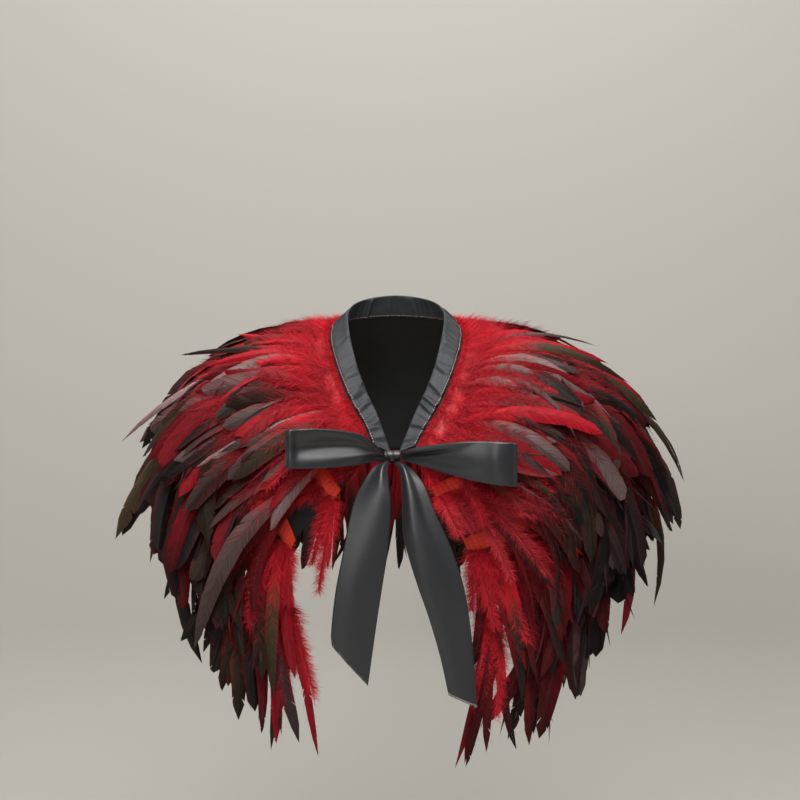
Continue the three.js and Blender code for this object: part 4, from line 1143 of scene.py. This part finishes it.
def edge_curve(points, t):
    """A smooth curve through points at t, in counts of points."""
    at = np.arange(len(points), dtype=float)
    every = np.broadcast_to(points, (len(t), *points.shape))
    return along_curve(every, np.broadcast_to(slopes(points, at), every.shape), at, t)


def gathers(t, reach, deep, folds, phase):
    """Folds that fan out from the knot: waves across the ribbon that fade with the way from it."""
    wave = np.cos(2 * np.pi * folds * ACROSS + phase) * np.sin(np.pi * ACROSS) ** 0.5
    return deep * np.exp(-t / reach)[:, None] * wave


def bow_ribbon(name, edge_a, edge_b, t, standing, creases):
    """A ribbon between two edge curves: straight across, moved out of its face by the standing height and
    by creases. Each crease is a bump along t at its middle times a bump across v that moves with its
    slant: t, v, along, across, depth (mm) and slant."""
    for at, height, long, wide, depth, slant in creases:
        middle = height + slant * (t[:, None] - at)
        standing = standing + depth * MM * bell(t, at, long)[:, None] * bell(ACROSS, middle, wide)
    flat = blend(edge_curve(edge_a, t)[:, None], edge_curve(edge_b, t)[:, None], ACROSS[:, None])
    front = flat + grid_normals(flat) * standing[..., None]
    piece = cloth_piece(name + "_ribbon", front, RIBBON_WALL, SATIN)
    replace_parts(piece, name)
    return piece, front


def bow_loop(name, creases):
    """Out along the front wall, round the fold and back along the back wall, with gathers at the knot and
    listed creases. On the left v runs down, on the right up."""
    out = np.array(LOOPS_MM[name]) * MM
    back = out[:-1][::-1]
    upper = np.concatenate([out[:, [0, 3, 1]], back[:, [0, 4, 1]]])
    lower = np.concatenate([out[:, [0, 3, 2]], back[:, [0, 4, 2]]])
    last = len(upper) - 1
    t = np.linspace(0, last, ALONG_STEPS)
    way = np.minimum(t, last - t)
    standing = 2.5 * MM * (np.sin(np.pi * way / (last / 2)) ** 2)[:, None] * np.sin(np.pi * ACROSS)
    standing = standing + gathers(way, 0.7, 0.9 * MM, 2.2, 0.6)
    edges = (upper, lower) if out[-1, 0] < 0 else (lower, upper)
    piece, front = bow_ribbon(name, *edges, t, standing, creases)


def bow_tail(name, creases, count):
    """Down from the knot between its two edges, with gathers at the top, long soft creases and a count of
    frayed threads at the cut end."""
    rows = np.array(TAILS_MM[name]) * MM
    t = np.linspace(0, len(rows) - 1, ALONG_STEPS)
    standing = 3 * MM * np.minimum(t, 1)[:, None] * np.sin(np.pi * ACROSS)
    standing = standing + gathers(t, 0.4, 0.6 * MM, 1.4, 0.4)
    piece, front = bow_ribbon(name, rows[:, [0, 4, 1]], rows[:, [2, 4, 3]], t, standing, creases)
    way = unit(front[-1, MIDDLE] - front[-8, MIDDLE])
    edge = front[-1] - way * FRAY_IN + np.array([0, -0.5, 0]) * MM
    threads = frayed_edge(edge, way, count, FRAY_REACH, PALE_DYE, np.random.default_rng(TAIL_SEED))
    dyed_piece(name + "_frays", [threads], [DOWN_HAIR])


bow_loop("bow_loop_left",
         [(2.9, 0.44, 1.3, 0.26, -10, 0.05), (1.5, 0.22, 0.8, 0.12, 2.6, -0.1),
          (1.3, 0.64, 0.8, 0.09, 2.4, 0.1), (4.25, 0.35, 0.24, 0.7, 4.4, 0),
          (4.72, 0.5, 0.14, 0.7, -1.8, 0), (7, 0.5, 1.2, 0.3, -2, 0)])
bow_loop("bow_loop_right",
         [(1.2, 0.62, 1.0, 0.08, -3.4, 0.22), (1.3, 0.84, 1.0, 0.14, 2.6, 0.16),
          (1.6, 0.3, 1.3, 0.2, -2.0, 0.05), (3.5, 0.6, 0.35, 0.6, 2.4, 0), (4.4, 0.5, 0.25, 0.7, -1.6, 0),
          (7.0, 0.5, 1.2, 0.3, -2.0, 0)])
bow_tail("bow_tail_left",
         [(2.2, 0.85, 1.7, 0.45, 6.0, 0), (1.5, 0.7, 0.7, 0.14, 1.6, 0.1), (1.0, 0.25, 0.8, 0.2, -1.4, 0),
          (5.0, 0.3, 1.4, 0.35, 1.8, 0), (6.2, 0.75, 1.2, 0.3, -1.4, 0)], 22)
bow_tail("bow_tail_right",
         [(2.8, 0.36, 2.2, 0.34, 6.5, 0), (2.4, 0.7, 1.4, 0.14, -1.6, 0.04), (4.8, 0.16, 1.4, 0.16, 2.0, 0),
          (6.4, 0.6, 1.6, 0.3, -1.8, 0)], 90)

KNOT_CENTRE = np.array([-3, -96.8, -112.4]) * MM
KNOT_HALF = 8.3 * MM
KNOT_RADIUS = 5.4 * MM
KNOT_DEPTH = 8 / 5.4


def knot_wrap():
    """A barrel round the X direction: its radius swells in the middle, and two slanting folds run round."""
    rings, count = 61, 96
    x = np.linspace(-1, 1, rings)[:, None]
    angle = np.linspace(0, 2 * np.pi, count + 1)[:-1]
    slant = x + 0.3 * np.sin(angle + 0.6)
    radius = KNOT_RADIUS * (0.98 - 0.14 * x ** 6)
    radius = radius - 0.5 * MM * (bell(slant, -0.5, 0.12) + 0.8 * bell(slant, 0.3, 0.09))
    closing = np.minimum(1, ((1 - np.abs(x)) * 9 + 0.35) ** 0.5)
    radius = radius * np.where(np.abs(x) < 1, closing, 0.3)
    ring = np.stack(np.broadcast_arrays(x * KNOT_HALF, -np.cos(angle) * radius * KNOT_DEPTH,
                                        np.sin(angle) * radius), axis=-1) + KNOT_CENTRE
    ends = KNOT_CENTRE + np.array([[-KNOT_HALF, 0, 0], [KNOT_HALF, 0, 0]])
    points = np.concatenate([ring.reshape(-1, 3), ends])
    at = np.arange(count)
    after = (at + 1) % count
    band = np.stack([at, after, after + count, at + count], axis=1)
    low = np.stack([0 * at + rings * count, after, at], axis=1)
    start = (rings - 1) * count
    high = np.stack([0 * at + rings * count + 1, at + start, after + start], axis=1)
    uv = np.concatenate([pairs(angle / (2 * np.pi) * 0.04, (x + 1) * 0.0125), np.zeros((2, 2))])
    quads, triangles = copies(band, rings - 1, count), np.concatenate([low, high])
    piece = add_mesh("bow_knot_wrap", points, quads, triangles, uv, materials=[SATIN])
    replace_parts(piece, "bow_knot")


knot_wrap()

# Floor, backdrop and light

FLOOR_Z = -0.75
WALL_Y = 0.75
SWEEP = 0.35


def backdrop():
    """A pale floor that sweeps up into a wall behind: a floor line, a quarter circle and a wall line. Seen
    from behind it is clear, so that the back of the cape can be looked at."""
    turn = np.linspace(0, np.pi / 2, 25)
    y = np.concatenate([[-6], WALL_Y - SWEEP + SWEEP * np.sin(turn), [WALL_Y]])
    z = np.concatenate([[FLOOR_Z], FLOOR_Z + SWEEP * (1 - np.cos(turn)), [4]])
    x = np.array([-5.0, 5.0])
    grid = np.stack(np.broadcast_arrays(x[None, :], y[:, None], z[:, None]), axis=-1)
    mesh = bpy.data.meshes.new("backdrop")
    mesh.from_pydata(grid.reshape(-1, 3).tolist(), [], grid_quads(len(y), 2, 0, True).tolist())
    mesh.shade_smooth()
    material, tree, shader = new_material("pale_wall")
    shader.inputs["Base Color"].default_value = (0.56, 0.54, 0.5, 1)
    shader.inputs["Roughness"].default_value = 0.9
    facing = node(tree, "NewGeometry").outputs["Backfacing"]
    clear = node(tree, "BsdfTransparent").outputs[0]
    either = node(tree, "MixShader", facing, shader.outputs[0], clear)
    feed(tree, tree.nodes["Material Output"].inputs["Surface"], either.outputs[0])
    mesh.materials.append(material)
    add_object("backdrop", mesh)


backdrop()


def soft_light(name, place, aim, size, power, colour):
    """A square soft light at a place, turned to its aim."""
    data = bpy.data.lights.new(name, "AREA")
    data.shape, data.size, data.energy, data.color = "SQUARE", size, power, colour
    light = add_object(name, data)
    light.location = place
    light.rotation_euler = (Vector(aim) - Vector(place)).to_track_quat("-Z", "Y").to_euler()


soft_light("top_light", (0.05, -0.95, 1.45), (0, 0, -0.1), 1.0, 30, (1, 0.985, 0.96))
soft_light("front_light", (-1.1, -2.4, 0.75), (0, 0, -0.15), 1.0, 12, (1, 0.99, 0.97))
soft_light("wall_light", (0.0, -0.2, 2.4), (0, 0.75, -0.2), 2.0, 28, (1, 0.98, 0.95))

world = bpy.data.worlds.new("world")
world.use_nodes = True
world.node_tree.nodes["Background"].inputs["Color"].default_value = (0.95, 0.96, 1, 1)
world.node_tree.nodes["Background"].inputs["Strength"].default_value = 0.16
bpy.context.scene.world = world
bpy.context.scene.view_settings.view_transform = "Standard"
